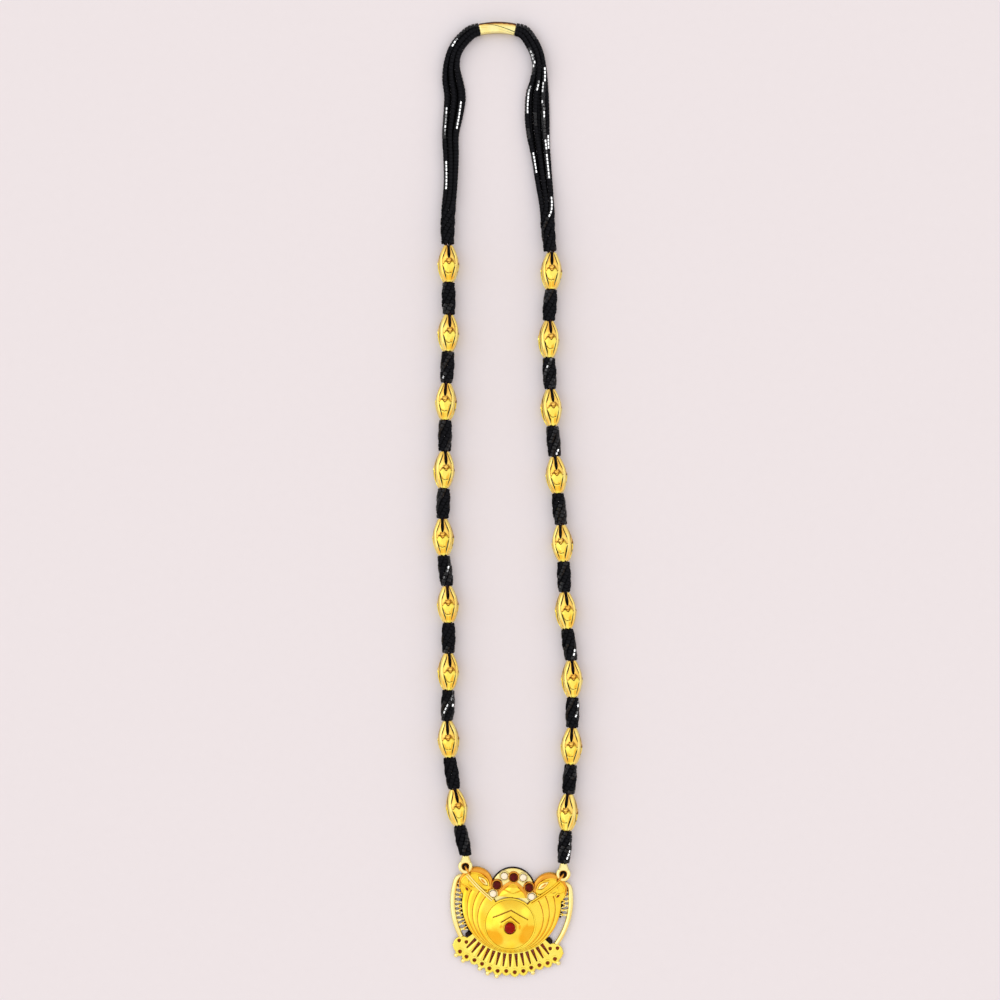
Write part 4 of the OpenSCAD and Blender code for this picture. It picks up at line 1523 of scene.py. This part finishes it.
    def bowl(self) -> Shell:
        """Builds the bowl, turned upside down: wall, rounded rim, dome and the stone's collar.

        Returns:
            The shell, in the pendant's own frame.
        """
        shell = Shell()
        inner = self.bowl_r - self.rim_w
        lift = 0.3
        rise = self.bowl_rise - lift
        ball = (inner ** 2 + rise ** 2) / (2 * rise)
        low = 0.05
        profile: list[Pair] = [(inner - 0.8, low), (self.bowl_r, low), (self.bowl_r, self.rim_z)]
        for a in np.radians(np.linspace(0, 180, 15)):
            profile.append((self.bowl_r - self.rim_w / 2 * (1 - math.cos(a)),
                            self.rim_z + self.rim_w / 2 * math.sin(a)))
        profile.append((inner, self.rim_z - 0.2))
        shell.lathe(profile, 128)
        edge, hub = inner + 0.02, 0.15
        radius = np.concatenate([[edge], np.linspace(edge, hub, 50)])[:, None]
        a = (np.arange(200) / 200 * 2 * np.pi)[None, :]
        x, y = radius * np.cos(a), radius * np.sin(a)
        relief, line = self.dome_relief(x, y)
        z = self.rim_z + lift + rise - ball + np.sqrt(ball ** 2 - radius ** 2) + relief
        z[0] = BURIED
        # The stamped lines on the dome are painted brown as shade.
        shell.rings(np.stack([x, y, z], -1), np.where(line[:-1] > 0.5, Metal.BROWN_SHADE.value, Metal.GOLD.value))
        self.collar(shell, (0, -0.7), width=4.1, seat=5.8, foot=4.6, wall=0.28)
        return shell

    def collar(self, shell: Shell, at: Pair, width: float, seat: float, foot: float = BURIED,
               wall: float = 0.42, metal: Metal = Metal.GOLD) -> None:
        """Adds a stone's cup with a rounded lip.

        Args:
            shell: takes the faces.
            at: its middle.
            width: the stone's width.
            seat: height of the cup's floor.
            foot: height that the cup stands on.
            wall: thickness of its wall.
            metal: its finish.
        """
        inner, rim = width / 2 + 0.1, seat + width * 0.30
        profile = [(HUB, foot), (inner + wall + 0.15, foot), (inner + wall, rim - 0.12),
                   (inner + wall * 0.7, rim + 0.05), (inner + wall * 0.3, rim + 0.05),
                   (inner, rim - 0.1), (inner, seat), (HUB, seat)]
        shell.lathe(profile, 40, at, metal.value)

    def block(self, shell: Shell, top: np.ndarray, metal: Metal) -> None:
        """Closes a raised sheet down to the surface that the pendant lies on.

        Args:
            shell: takes the faces.
            top: the sheet.
            metal: its finish.
        """
        under = top.copy()
        under[:, :, 2] = BURIED
        shell.slab(top, under, metal.value, metal.value)

    def leaf_half(self, form: Sequence[float], t: np.ndarray) -> np.ndarray:
        """Finds half a leaf's width, between two arcs that meet at its tips.

        Args:
            form: x, y, turn in degrees, length and width.
            t: places along the leaf from its middle.

        Returns:
            The half width at each place.
        """
        length, width = form[3:]
        r = (length ** 2 + width ** 2) / (4 * width)
        return np.sqrt(np.maximum(r ** 2 - t ** 2, 0)) - (r - width / 2)

    def leaf(self, shell: Shell, form: Sequence[float], z: float, rise: float, metal: Metal) -> None:
        """Adds a pointed leaf with a domed face, down to the surface below the pendant.

        Args:
            shell: takes the faces.
            form: x, y, turn in degrees, length and width.
            z: height of the leaf's edge.
            rise: how far its middle stands above its edge.
            metal: its finish.
        """
        x0, y0, turn, length, width = form
        t = np.linspace(-0.995, 0.995, 25)[:, None] * length / 2
        half = self.leaf_half(form, t)
        s = np.linspace(-1, 1, 13)[None, :]
        x, y = turned(np.broadcast_to(t, (25, 13)), half * s, turn)
        top = np.stack([x0 + x, y0 + y, z + rise * (1 - s ** 2) * (half / (width / 2)) + 0 * x], -1)
        self.block(shell, top, metal)

    def leaf_edge(self, shell: Shell, form: Sequence[float], z: float, radius: float, metal: Metal) -> None:
        """Adds a round wire along a leaf's outline.

        Args:
            shell: takes the faces.
            form: x, y, turn in degrees, length and width.
            z: height of the wire's middle.
            radius: the wire's radius.
            metal: its finish.
        """
        x0, y0, turn, length = form[:4]
        t = np.cos(np.linspace(0, np.pi, 17)) * length / 2
        half = self.leaf_half(form, t)
        x, y = turned(np.concatenate([t, -t[1:-1]]), np.concatenate([half, -half[1:-1]]), turn)
        shell.tube(np.column_stack([x0 + x, y0 + y, np.full(len(x), z)]), radius, 8, True, finish=metal.value)

    def crown(self) -> Shell:
        """Builds the crown: a disc with a leaf in a raised band, and the stones' cups round it.

        Returns:
            The shell, in the pendant's own frame.
        """
        shell = Shell()
        # A near-black disc under the crown: painted shade round its edge.
        dark_r, dark_z = self.crown_r + 0.4, 0.7
        shell.lathe([(HUB, BURIED), (dark_r, BURIED), (dark_r, dark_z - 0.2), (dark_r - 0.2, dark_z),
                     (HUB, dark_z)], 96, (0, self.crown_y), Metal.INSIDE.value)
        edge, low = 0.35, 0.03
        profile: list[Pair] = [(HUB, low), (self.crown_r, low), (self.crown_r, self.crown_z - edge)]
        profile += [(self.crown_r - edge + edge * math.cos(a), self.crown_z - edge + edge * math.sin(a))
                    for a in np.linspace(0.3, math.pi / 2, 5)]
        profile.append((HUB, self.crown_z))
        shell.lathe(profile, 96, (0, self.crown_y), Metal.PALE.value)
        # The outer arch and the red stones' cups take the darker amber gold, painted shade.
        self.arch(shell, radius=9.75, z=2.35, rise=0.28, metal=Metal.SHADED_GOLD)
        self.arch(shell, radius=8.7, z=2.65, rise=0.95, metal=Metal.GOLD)
        for at in self.RED_AT:
            self.collar(shell, at, width=2.9, seat=2.5, metal=Metal.SHADED_GOLD)
        for at in self.PALE_AT:
            self.collar(shell, at, width=2.5, seat=2.5, metal=Metal.PALE)
        return shell

    def arch(self, shell: Shell, radius: float, z: float, rise: float, metal: Metal) -> None:
        """Adds a pointed leaf that stands on the bowl's rim.

        Args:
            shell: takes the faces.
            radius: radius of its two arcs.
            z: height of its edge.
            rise: how far its middle stands above its edge.
            metal: its finish.
        """
        # Each arc's middle, to the far side of the leaf's own middle line
        ax, ay = 3.36, 6.6
        base = self.bowl_r + 0.15
        peak = ay + math.sqrt(radius ** 2 - ax ** 2)
        t = np.linspace(0, 0.995, 33)[:, None]
        y = base + (peak - base) * t
        half = np.sqrt(np.maximum(radius ** 2 - (y - ay) ** 2, 0)) - ax
        s = np.linspace(-1, 1, 33)[None, :]
        height = z + rise * (1 - np.abs(s) ** 2.2) * ease(0, 0.35, 1 - t) * ease(-0.25, 0.3, t)
        height -= 0.25 * np.exp(-((t - 0.30 - 0.25 * np.abs(s)) / 0.025) ** 2) * (rise > 0.5)
        self.block(shell, np.stack([half * s, y + 0 * s, height + 0 * y], -1), metal)

    def field(self, shell: Shell) -> None:
        """Adds the right lobe's cushion, which ends at the crescent.

        Args:
            shell: takes the faces.
        """
        x0, y0 = self.lobe_at
        away = np.array([x0 - self.field_at[0], y0 - self.field_at[1]])
        a = np.arange(96) / 96 * 2 * np.pi
        b = away[0] * np.cos(a) + away[1] * np.sin(a)
        far = np.minimum(self.lobe_r - 0.4, -b + np.sqrt(b ** 2 - away @ away + (self.field_r + 0.2) ** 2))
        share = np.array([0.02, 1.0, 1.0, 0.97, 0.92, 0.8, 0.6, 0.4, 0.2, 0.02])[:, None]
        rise = np.array([0.0, 0.0, -0.3, -0.05, 0.06, 0.16, 0.28, 0.34, 0.38, 0.4])[:, None]
        z = np.where(np.arange(10)[:, None] < 2, BURIED, self.field_z + rise)
        rows = np.stack([x0 + share * far * np.cos(a), y0 + share * far * np.sin(a), z + 0 * a], -1)
        shell.rings(rows)

    def lobe(self) -> Shell:
        """Builds the right shoulder lobe, like a peacock's hood: disc, cushion, amber roll and leaves.

        Returns:
            The shell, in the pendant's own frame.
        """
        shell = Shell()
        x0, y0 = self.lobe_at
        low, top, bevel = 0.06, 1.6, 0.25
        shell.lathe([(HUB, low), (self.lobe_r, low), (self.lobe_r, top - 0.3), (self.lobe_r - bevel, top),
                     (HUB, top)], 96, (x0, y0))
        self.field(shell)
        # The roll is thickest at 112 degrees and tapers over the 108 degrees on each side.
        degrees = np.linspace(-14, 194, 73)
        a = np.radians(degrees)
        thick = 0.28 + 0.84 * np.cos(np.radians(np.clip((degrees - 112) / 108, -1, 1) * 90)) ** 0.9
        ring = self.lobe_r - thick + 0.05
        roll = np.column_stack([x0 + ring * np.cos(a), y0 + ring * np.sin(a), np.full(len(a), 2.15)])
        # The roll takes the darker amber gold, painted shade.
        shell.tube(roll, thick, 20, flat=0.75, finish=Metal.SHADED_GOLD.value)
        lip = self.lobe_r - 2 * thick - 0.18
        seam = np.column_stack([x0 + lip * np.cos(a), y0 + lip * np.sin(a), np.full(len(a), 2.6)])
        shell.tube(seam[4:-4], 0.2, 10)
        x, y, turn, length, width = self.RAISED_LEAF
        self.leaf_edge(shell, self.RAISED_LEAF, z=2.95, radius=0.26, metal=Metal.GOLD)
        self.leaf(shell, (x, y, turn, length - 0.6, width - 0.7), z=2.75, rise=0.42, metal=Metal.PALE)
        self.leaf(shell, (x, y, turn, length * 0.5, width * 0.26), z=3.08, rise=0.2, metal=Metal.SHADED_GOLD)
        # The sunk and open leaves are filled with red-brown painted shade.
        for form in (self.SUNK_LEAF, self.OPEN_LEAF):
            self.leaf_edge(shell, form, z=2.76, radius=0.2, metal=Metal.GOLD)
            self.leaf(shell, form, z=2.76, rise=0.0, metal=Metal.HOLLOW_SHADE)
        return shell

    def strap(self, metal: Metal) -> Shell:
        """Builds the grooved strap that crosses the right lobe down to the bowl's rim.

        Args:
            metal: its finish.

        Returns:
            The shell, in the pendant's own frame.
        """
        t = np.linspace(0, 1, 25)[:, None]
        top, foot = np.array([16.7, 16.4, 2.85]), np.array([7.0, 8.2, 3.15])
        path = top * (1 - t) + foot * t
        path[:, 0] += 0.45 * np.sin(np.pi * t[:, 0])
        path[:, 2] += 0.2 * np.sin(np.pi * t[:, 0])
        section = np.array([(-1, -1), (1, -1), (1, 0.5), (0.8, 1), (0.3, 1), (0, 0.1),
                            (-0.3, 1), (-0.8, 1), (-1, 0.5)])
        shell = Shell()
        shell.sweep(path, section, np.column_stack([0.75 - 0.1 * t, 0.36 + 0 * t]), finish=metal.value)
        return shell

    def wire(self) -> Shell:
        """Builds the pale wire down the right side, hooked at its top.

        Returns:
            The shell, in the pendant's own frame.
        """
        shell = Shell()
        reach, r, z = self.wire_reach, self.hook_r, 1.0
        low = np.radians(np.linspace(-32, 12, 61))
        path = np.column_stack([self.wire_at[0] + reach * np.cos(low), self.wire_at[1] + reach * np.sin(low)])
        middle = path[-1] - r * np.array([math.cos(low[-1]), math.sin(low[-1])])
        bend = np.radians(np.linspace(12, 90, 22))[1:]
        hook = np.column_stack([middle[0] + r * np.cos(bend), middle[1] + r * np.sin(bend)])
        path = np.vstack([path, hook])
        radius = np.full(len(path), self.wire_r)
        radius[-14:] = np.linspace(self.wire_r, 0.6, 14)
        shell.tube(np.column_stack([path, np.full(len(path), z)]), radius, 16, finish=Metal.PALE.value)
        return shell

    def teeth(self, down_to: float, luck: random.Random) -> Shell:
        """Builds small slanting teeth between the right wire and the crescent, on a near-black strip of
        painted shade.

        Args:
            down_to: the angle round the wire's middle where they end, in degrees.
            luck: the source of small differences.

        Returns:
            The teeth as a shell.
        """
        shell = Shell()
        (x0, y0), reach = self.wire_at, self.teeth_reach
        for k, degrees in enumerate(np.arange(self.teeth_from, down_to, -self.teeth_pitch)):
            angle = math.radians(degrees)
            root = np.array([x0 + reach * math.cos(angle), y0 + reach * math.sin(angle), 1.0])
            slant = angle + math.pi + math.radians(20 if k % 2 else -14) + luck.uniform(-0.12, 0.12)
            tip = root + self.tooth_len * np.array([math.cos(slant), math.sin(slant), 0])
            t = np.linspace(0, 1, 8)[:, None]
            radius = 0.14 + 0.16 * np.sin(np.pi * t[:, 0])
            shell.tube(root + (tip - root) * t, radius, 8, finish=Metal.PALE.value)
            shell.ball(tuple(root + (tip - root) * 0.62), (0.42, 0.34, 0.42), fine=8)
        # The strip under the teeth is near black: painted shade along the crescent's side.
        foot = np.radians(np.linspace(13, down_to * 1.28, 40))
        ragged = 0.40 + 0.16 * np.sin(np.arange(40) * 2.3)
        r = self.crescent_r + 0.35
        strip = np.column_stack([r * np.cos(foot), self.crescent_y + r * np.sin(foot), np.full(40, 0.75)])
        shell.tube(strip, ragged, 8, finish=Metal.INSIDE.value)
        # A near-black blob at the wire's lower end, in the same near-black finish as the strip
        low, r = np.radians(-39.5), 19.0
        shell.ball((r * math.cos(low), self.crescent_y + r * math.sin(low), 0.75), (1.25, 0.9, 0.75),
                   -45, Metal.INSIDE.value)
        return shell

    def ear(self) -> Shell:
        """Builds the right ear: a lug under the end ring and the loop that passes up through it.

        Returns:
            The shell, in the pendant's own frame.
        """
        shell = Shell()
        x0, y0 = RING_AT
        to_lobe = math.degrees(math.atan2(self.lobe_at[1] - y0, self.lobe_at[0] - x0))
        lug_r, low, top = 2.2, 0.1, 1.0
        # The lug under the ring is near black, as painted shade seen through the ring's hole.
        shell.lathe([(HUB, low), (lug_r, low), (lug_r, top - 0.25), (lug_r - 0.25, top), (HUB, top)], 48,
                    (x0, y0), Metal.INSIDE.value)
        r, wire_r = 1.65, 0.32
        a = np.radians(np.linspace(0, 180, 25))
        way = np.concatenate([[2 * r, 2 * r], r + r * np.cos(a), [0, 0]])
        z = np.concatenate([[low, top], RING_Z + r * np.sin(a), [top, low]])
        ahead = np.gradient(np.column_stack([way, z]), axis=0)
        ahead /= np.linalg.norm(ahead, axis=1)[:, None]
        turns = np.arange(12) / 12 * 2 * np.pi
        along_way = way[:, None] - wire_r * np.sin(turns) * ahead[:, 1:]
        x, y = turned(along_way, wire_r * np.cos(turns) + 0 * along_way, to_lobe)
        height = z[:, None] + wire_r * np.sin(turns) * ahead[:, :1]
        shell.rings(np.stack([x0 + x, y0 + y, height], -1), Metal.SHADED_GOLD.value, Metal.SHADED_GOLD.value)
        return shell

    def comb_spot(self, angle: float, reach: float) -> Pair:
        """A point at an angle from straight down and a distance from the crescent's middle."""
        a = math.radians(angle)
        return reach * math.sin(a), self.crescent_y - reach * math.cos(a)

    def both(self, rows: Iterable[Pair]) -> list[Pair]:
        """Rows of angle and distance on the right side, with those of the left side added."""
        return [(s * a, r) for a, r in rows for s in ((1,) if a == 0 else (-1, 1))]

    def comb_outline(self, inset: float, slot_share: float, hole_r: float) -> list[np.ndarray]:
        """The comb's outer edge and its openings.

        Args:
            inset: how far the edge is drawn in.
            slot_share: the slots' width as a share of their full width.
            hole_r: radius of the holes.

        Returns:
            The edge as a closed line, and one closed line for each slot and hole.
        """
        disc_at, disc_reach, disc_r = self.END_DISC
        discs = [(a, r, self.tip_r - inset) for a, r in self.both(self.TIPS)]
        discs += [(a, r, disc_r - inset) for a, r in self.both([(disc_at, disc_reach)])]
        far = disc_at + math.degrees(math.asin((disc_r - inset) / disc_reach)) - 0.02
        line = []
        for angle in np.linspace(-far, far, 541):
            reach = self.comb_reach - inset if abs(angle) <= 48 else 0
            for a, r, w in discs:
                off = r * math.sin(math.radians(angle - a))
                if abs(off) < w and abs(angle - a) < 90:
                    reach = max(reach, r * math.cos(math.radians(angle - a)) + math.sqrt(w ** 2 - off ** 2))
            line.append(self.comb_spot(angle, reach))
        for angle in np.linspace(far, -far, 161):
            reach = self.crescent_r - 1.2
            if abs(angle) > 48:
                a = math.radians(abs(angle) - disc_at)
                off = disc_reach * math.sin(a)
                reach = disc_reach * math.cos(a) - math.sqrt(max((disc_r - inset) ** 2 - off ** 2, 0))
            line.append(self.comb_spot(angle, reach))
        lines = [np.array(line)]
        for k in range(self.slots):
            a = (k - (self.slots - 1) / 2) * self.slot_pitch
            ends = [(18.1, 0.55 * slot_share), (22.6, 0.22 * slot_share)]
            corners = [self.comb_spot(a - math.degrees(w / r), r) for r, w in ends]
            corners += [self.comb_spot(a + math.degrees(w / r), r) for r, w in reversed(ends)]
            lines.append(np.array(corners))
        u = np.arange(16) / 16 * 2 * np.pi
        for a, r in self.both(self.TIPS + self.END_HOLES):
            x, y = self.comb_spot(a, r)
            lines.append(np.column_stack([x + hole_r * np.cos(u), y + hole_r * np.sin(u)]))
        return lines

    def plate(self, shell: Shell, lines: list[np.ndarray], low: float, high: float, soft: float,
              metal: Metal) -> None:
        """Adds a pierced plate with rounded edges.

        Args:
            shell: takes the faces.
            lines: the plate's outline and those of its openings.
            low: height of its underside.
            high: height of its top.
            soft: radius of its edges.
            metal: its finish.
        """
        curve = bpy.data.curves.new("plate_outline", "CURVE")
        curve.dimensions = "2D"
        curve.fill_mode = "BOTH"
        curve.extrude = ((high - low) / 2 - soft) * MM
        curve.bevel_depth = soft * MM
        curve.bevel_resolution = 3
        curve.offset = -soft * MM
        for points in lines:
            spline = curve.splines.new("POLY")
            spline.points.add(len(points) - 1)
            for p, (x, y) in zip(spline.points, points):
                p.co = (x * MM, y * MM, 0, 1)
            spline.use_cyclic_u = True
        holder = bpy.data.objects.new("plate_outline", curve)
        bpy.context.scene.collection.objects.link(holder)
        bpy.context.view_layer.update()
        flat = bpy.data.meshes.new_from_object(holder.evaluated_get(bpy.context.evaluated_depsgraph_get()))
        bpy.data.objects.remove(holder)
        points = np.array([v.co[:] for v in flat.vertices]) / MM
        points[:, 2] += (low + high) / 2
        start = shell.put(points)
        for f in flat.polygons:
            shell.face([start + k for k in f.vertices], metal.value)
        bpy.data.meshes.remove(flat)

    def comb(self) -> Shell:
        """Builds the pierced comb: a dark backing, a soft-edged gold plate, fingers and the tips' rings.

        Returns:
            The shell, in the pendant's own frame.
        """
        shell = Shell()
        # The backing is painted red-brown as shade, seen through the slots and holes.
        back = self.comb_outline(inset=0.25, slot_share=0.16, hole_r=0.12)
        self.plate(shell, back, low=0.4, high=0.85, soft=0.03, metal=Metal.HOLLOW_SHADE)
        front = self.comb_outline(inset=0.0, slot_share=1.0, hole_r=0.6)
        self.plate(shell, front, low=0.02, high=self.comb_z, soft=0.3, metal=Metal.BUFFED)
        for k in range(self.slots - 1):
            a = (k - (self.slots - 2) / 2) * self.slot_pitch
            reach = np.linspace(17.9, 22.7, 13)
            path = np.array([[*self.comb_spot(a, r), self.comb_z - 0.12] for r in reach])
            # A finger widens towards the tips and rounds off at both ends.
            wide = np.linspace(0.38, 0.80, 13) * np.cos(np.linspace(-0.9, 1.25, 13)) ** 0.35
            shell.tube(path, wide, 12, flat=0.52, finish=Metal.BUFFED.value)
        for a, r in self.both(self.TIPS):
            ring = circle((*self.comb_spot(a, r), self.comb_z - 0.02), 1.08, 24)
            shell.tube(ring, 0.34, 8, True, 0.55, Metal.BUFFED.value)
        return shell

    def grains(self) -> Shell:
        """Builds the pale droplets at the comb's tips.

        Returns:
            The shell, in the pendant's own frame.
        """
        shell = Shell()
        for a, r in self.both(self.TIPS + (self.END_GRAIN,)):
            size = self.big_grain if a in self.BIG_GRAINS else self.small_grain
            proud = 0.2 if size == self.big_grain else -0.3
            x, y = self.comb_spot(a, r + self.tip_r + size * proud)
            shell.ball((x, y, size), (size, size * 1.15, size), a, Metal.PALE.value, 16)
        return shell

    def dress(self) -> None:
        """Makes the pendant's pieces."""
        self.place("pendant_crescent", self.crescent())
        self.place("pendant_bowl", self.bowl())
        self.place("pendant_crown", self.crown())
        luck = random.Random(5)
        lobes, straps, wires, teeth, ears = Shell(), Shell(), Shell(), Shell(), Shell()
        for left in (False, True):
            lobes.take(self.lobe(), left)
            # The left strap is paler than the right: painted light on one side.
            straps.take(self.strap(Metal.PALE if left else Metal.GOLD), left)
            wires.take(self.wire(), left)
            teeth.take(self.teeth(-29 if left else -9, luck), left)
            ears.take(self.ear(), left)
        self.place("pendant_lobes", lobes)
        self.place("pendant_straps", straps)
        self.place("pendant_side_wires", wires, Slot.PALE_GOLD)
        self.place("pendant_teeth", teeth)
        self.place("pendant_ears", ears)
        self.place("pendant_comb", self.comb())
        self.place("pendant_grains", self.grains(), Slot.PALE_GOLD)


@dataclass
class CarriedNodes:
    """The nodes whose own shape is kept: the cut stones and the end rings."""

    frame: dict
    finishes: Finishes

    def dress(self) -> None:
        """Gives each kept node its finish."""
        finish = {"centre_stone": self.finishes.red, "left_end_ring": self.finishes.pale_gold,
                  "right_end_ring": self.finishes.pale_gold}
        finish.update({f"red_stone_{w}": self.finishes.dark_red for w in ("left", "centre", "right")})
        finish.update({f"pale_stone_{i}": self.finishes.milky for i in range(1, 5)})
        for name, material in finish.items():
            node = self.frame["nodes"][name]
            node.data.materials.clear()
            node.data.materials.append(material)
            LOG.info("%s: dressed", name)


@dataclass(frozen=True)
class Card:
    """One card or wall of the room that the metal mirrors."""

    compass: float
    from_top: float
    reach: float
    soft: float
    colour: Triple

    def direction(self) -> Triple:
        """The way to the card's middle, from its compass angle and its angle from straight above."""
        a, b = math.radians(self.compass), math.radians(self.from_top)
        return math.cos(a) * math.sin(b), math.sin(a) * math.sin(b), math.cos(b)


@dataclass
class Studio:
    """The paper, the soft room and the camera straight above."""

    finishes: Finishes
    view_at: Pair = (-2.7, -0.2)
    view_width: float = 360.0
    lens_mm: float = 85.0
    sensor_mm: float = 36.0
    paper_half: float = 6000.0
    paper_gap: float = 0.02
    # Nearest and farthest that the camera sees, in metres
    sight: Pair = (0.01, 20.0)

    OVERHEAD: Triple = (1.00, 0.99, 0.98)
    # Each card lies over the ones before it.
    CARDS: tuple[Card, ...] = (
        Card(compass=90, from_top=82, reach=44, soft=12, colour=(0.90, 0.72, 0.54)),
        Card(compass=228, from_top=62, reach=21, soft=2.5, colour=(0.98, 0.66, 0.36)),
        Card(compass=320, from_top=64, reach=23, soft=2.5, colour=(0.96, 0.62, 0.32)),
        Card(compass=272, from_top=62, reach=9, soft=2, colour=(1.15, 1.08, 0.98)),
        Card(compass=165, from_top=48, reach=31, soft=7, colour=(1.42, 1.42, 1.40)),
        Card(compass=28, from_top=48, reach=11, soft=3, colour=(1.3, 1.26, 1.16)),
    )
    # Columns: name, place in millimetres, size in millimetres, power in watts
    GLINTS: tuple[tuple[str, Triple, Pair, float], ...] = (
        ("right_glint", (560, 200, 720), (500, 300), 33), ("left_glint", (-760, 60, 620), (400, 200), 12))

    def paper(self) -> None:
        """Lays the paper."""
        shell = Shell()
        h, z = self.paper_half, -self.paper_gap
        start = shell.put(np.array([(-h, -h, z), (h, -h, z), (h, h, z), (-h, h, z)]))
        shell.face([start, start + 1, start + 2, start + 3])
        paper = bpy.data.objects.new("paper", shell.mesh("paper"))
        paper.data.materials.append(self.finishes.paper)
        bpy.context.scene.collection.objects.link(paper)

    def glint(self, name: str, at: Triple, size: Pair, watts: float, shown_on: bpy.types.Collection) -> None:
        """Hangs one panel light that only the seed beads take light from.

        Args:
            name: its name.
            at: its place in millimetres.
            size: its length along the strings and its height in millimetres.
            watts: its power.
            shown_on: the pieces that it lights.
        """
        lamp = bpy.data.lights.new(name, "AREA")
        lamp.shape = "RECTANGLE"
        lamp.size, lamp.size_y = size[0] * MM, size[1] * MM
        lamp.energy = watts
        holder = bpy.data.objects.new(name, lamp)
        holder.location = tuple(v * MM for v in at)
        holder.rotation_euler = (-holder.location).to_track_quat("-Z", "Y").to_euler()
        holder.visible_camera = False
        holder.light_linking.receiver_collection = shown_on
        bpy.context.scene.collection.objects.link(holder)

    def glints(self, pieces: Sequence[bpy.types.Object]) -> None:
        """Hangs the lights that draw the dashes on the black strings.

        Args:
            pieces: the seed beads of both sides.
        """
        shown_on = bpy.data.collections.new("lit_by_glints")
        for piece in pieces:
            shown_on.objects.link(piece)
        for name, at, size, watts in self.GLINTS:
            self.glint(name, at, size, watts, shown_on)

    def room(self) -> None:
        """Makes the pale room that the metal mirrors."""
        world = bpy.data.worlds.new("soft_room")
        bpy.context.scene.world = world
        world.use_nodes = True
        tree = world.node_tree
        tree.nodes.clear()
        place = add_node(tree, "ShaderNodeTexCoord")
        shown = (*self.OVERHEAD, 1)
        for card in self.CARDS:
            near = add_node(tree, "ShaderNodeVectorMath", settings={"operation": "DOT_PRODUCT"}, inputs={
                0: place.outputs["Generated"], 1: card.direction()})
            rim, core = math.radians(card.reach + card.soft), math.radians(card.reach - card.soft)
            share = add_node(tree, "ShaderNodeMapRange", inputs={
                "Value": near.outputs["Value"], "From Min": math.cos(rim), "From Max": math.cos(core)})
            over = add_node(tree, "ShaderNodeMix", settings={"data_type": "RGBA"}, inputs={
                0: share.outputs["Result"], 6: shown, 7: (*card.colour, 1)})
            shown = over.outputs[2]
        back = add_node(tree, "ShaderNodeBackground", inputs={"Color": shown, "Strength": 1.0})
        add_node(tree, "ShaderNodeOutputWorld", inputs={"Surface": back.outputs["Background"]})

    def camera(self) -> None:
        """Sets the camera straight above, square to the paper."""
        lens = bpy.data.cameras.new("camera")
        lens.lens = self.lens_mm
        lens.sensor_width = self.sensor_mm
        lens.clip_start, lens.clip_end = self.sight
        holder = bpy.data.objects.new("camera", lens)
        high = self.view_width * self.lens_mm / self.sensor_mm
        holder.location = (self.view_at[0] * MM, self.view_at[1] * MM, high * MM)
        bpy.context.scene.collection.objects.link(holder)
        bpy.context.scene.camera = holder

    def dress(self) -> None:
        """Sets up the studio."""
        self.camera()
        self.paper()
        self.room()
        bpy.context.scene.view_settings.view_transform = "Standard"


def main() -> None:
    """Loads the frame and builds every piece round it."""
    logging.basicConfig(level=logging.INFO, format="%(name)s: %(message)s")
    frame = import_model()
    finishes = Finishes()
    studio = Studio(finishes)
    studio.dress()
    CarriedNodes(frame, finishes).dress()
    studio.glints([BeadStrings(side, finishes).dress() for side in Side])
    GoldBeads(finishes).dress()
    Sleeve(finishes).dress()
    Pendant(finishes).dress()


if __name__ == "__main__":
    main()
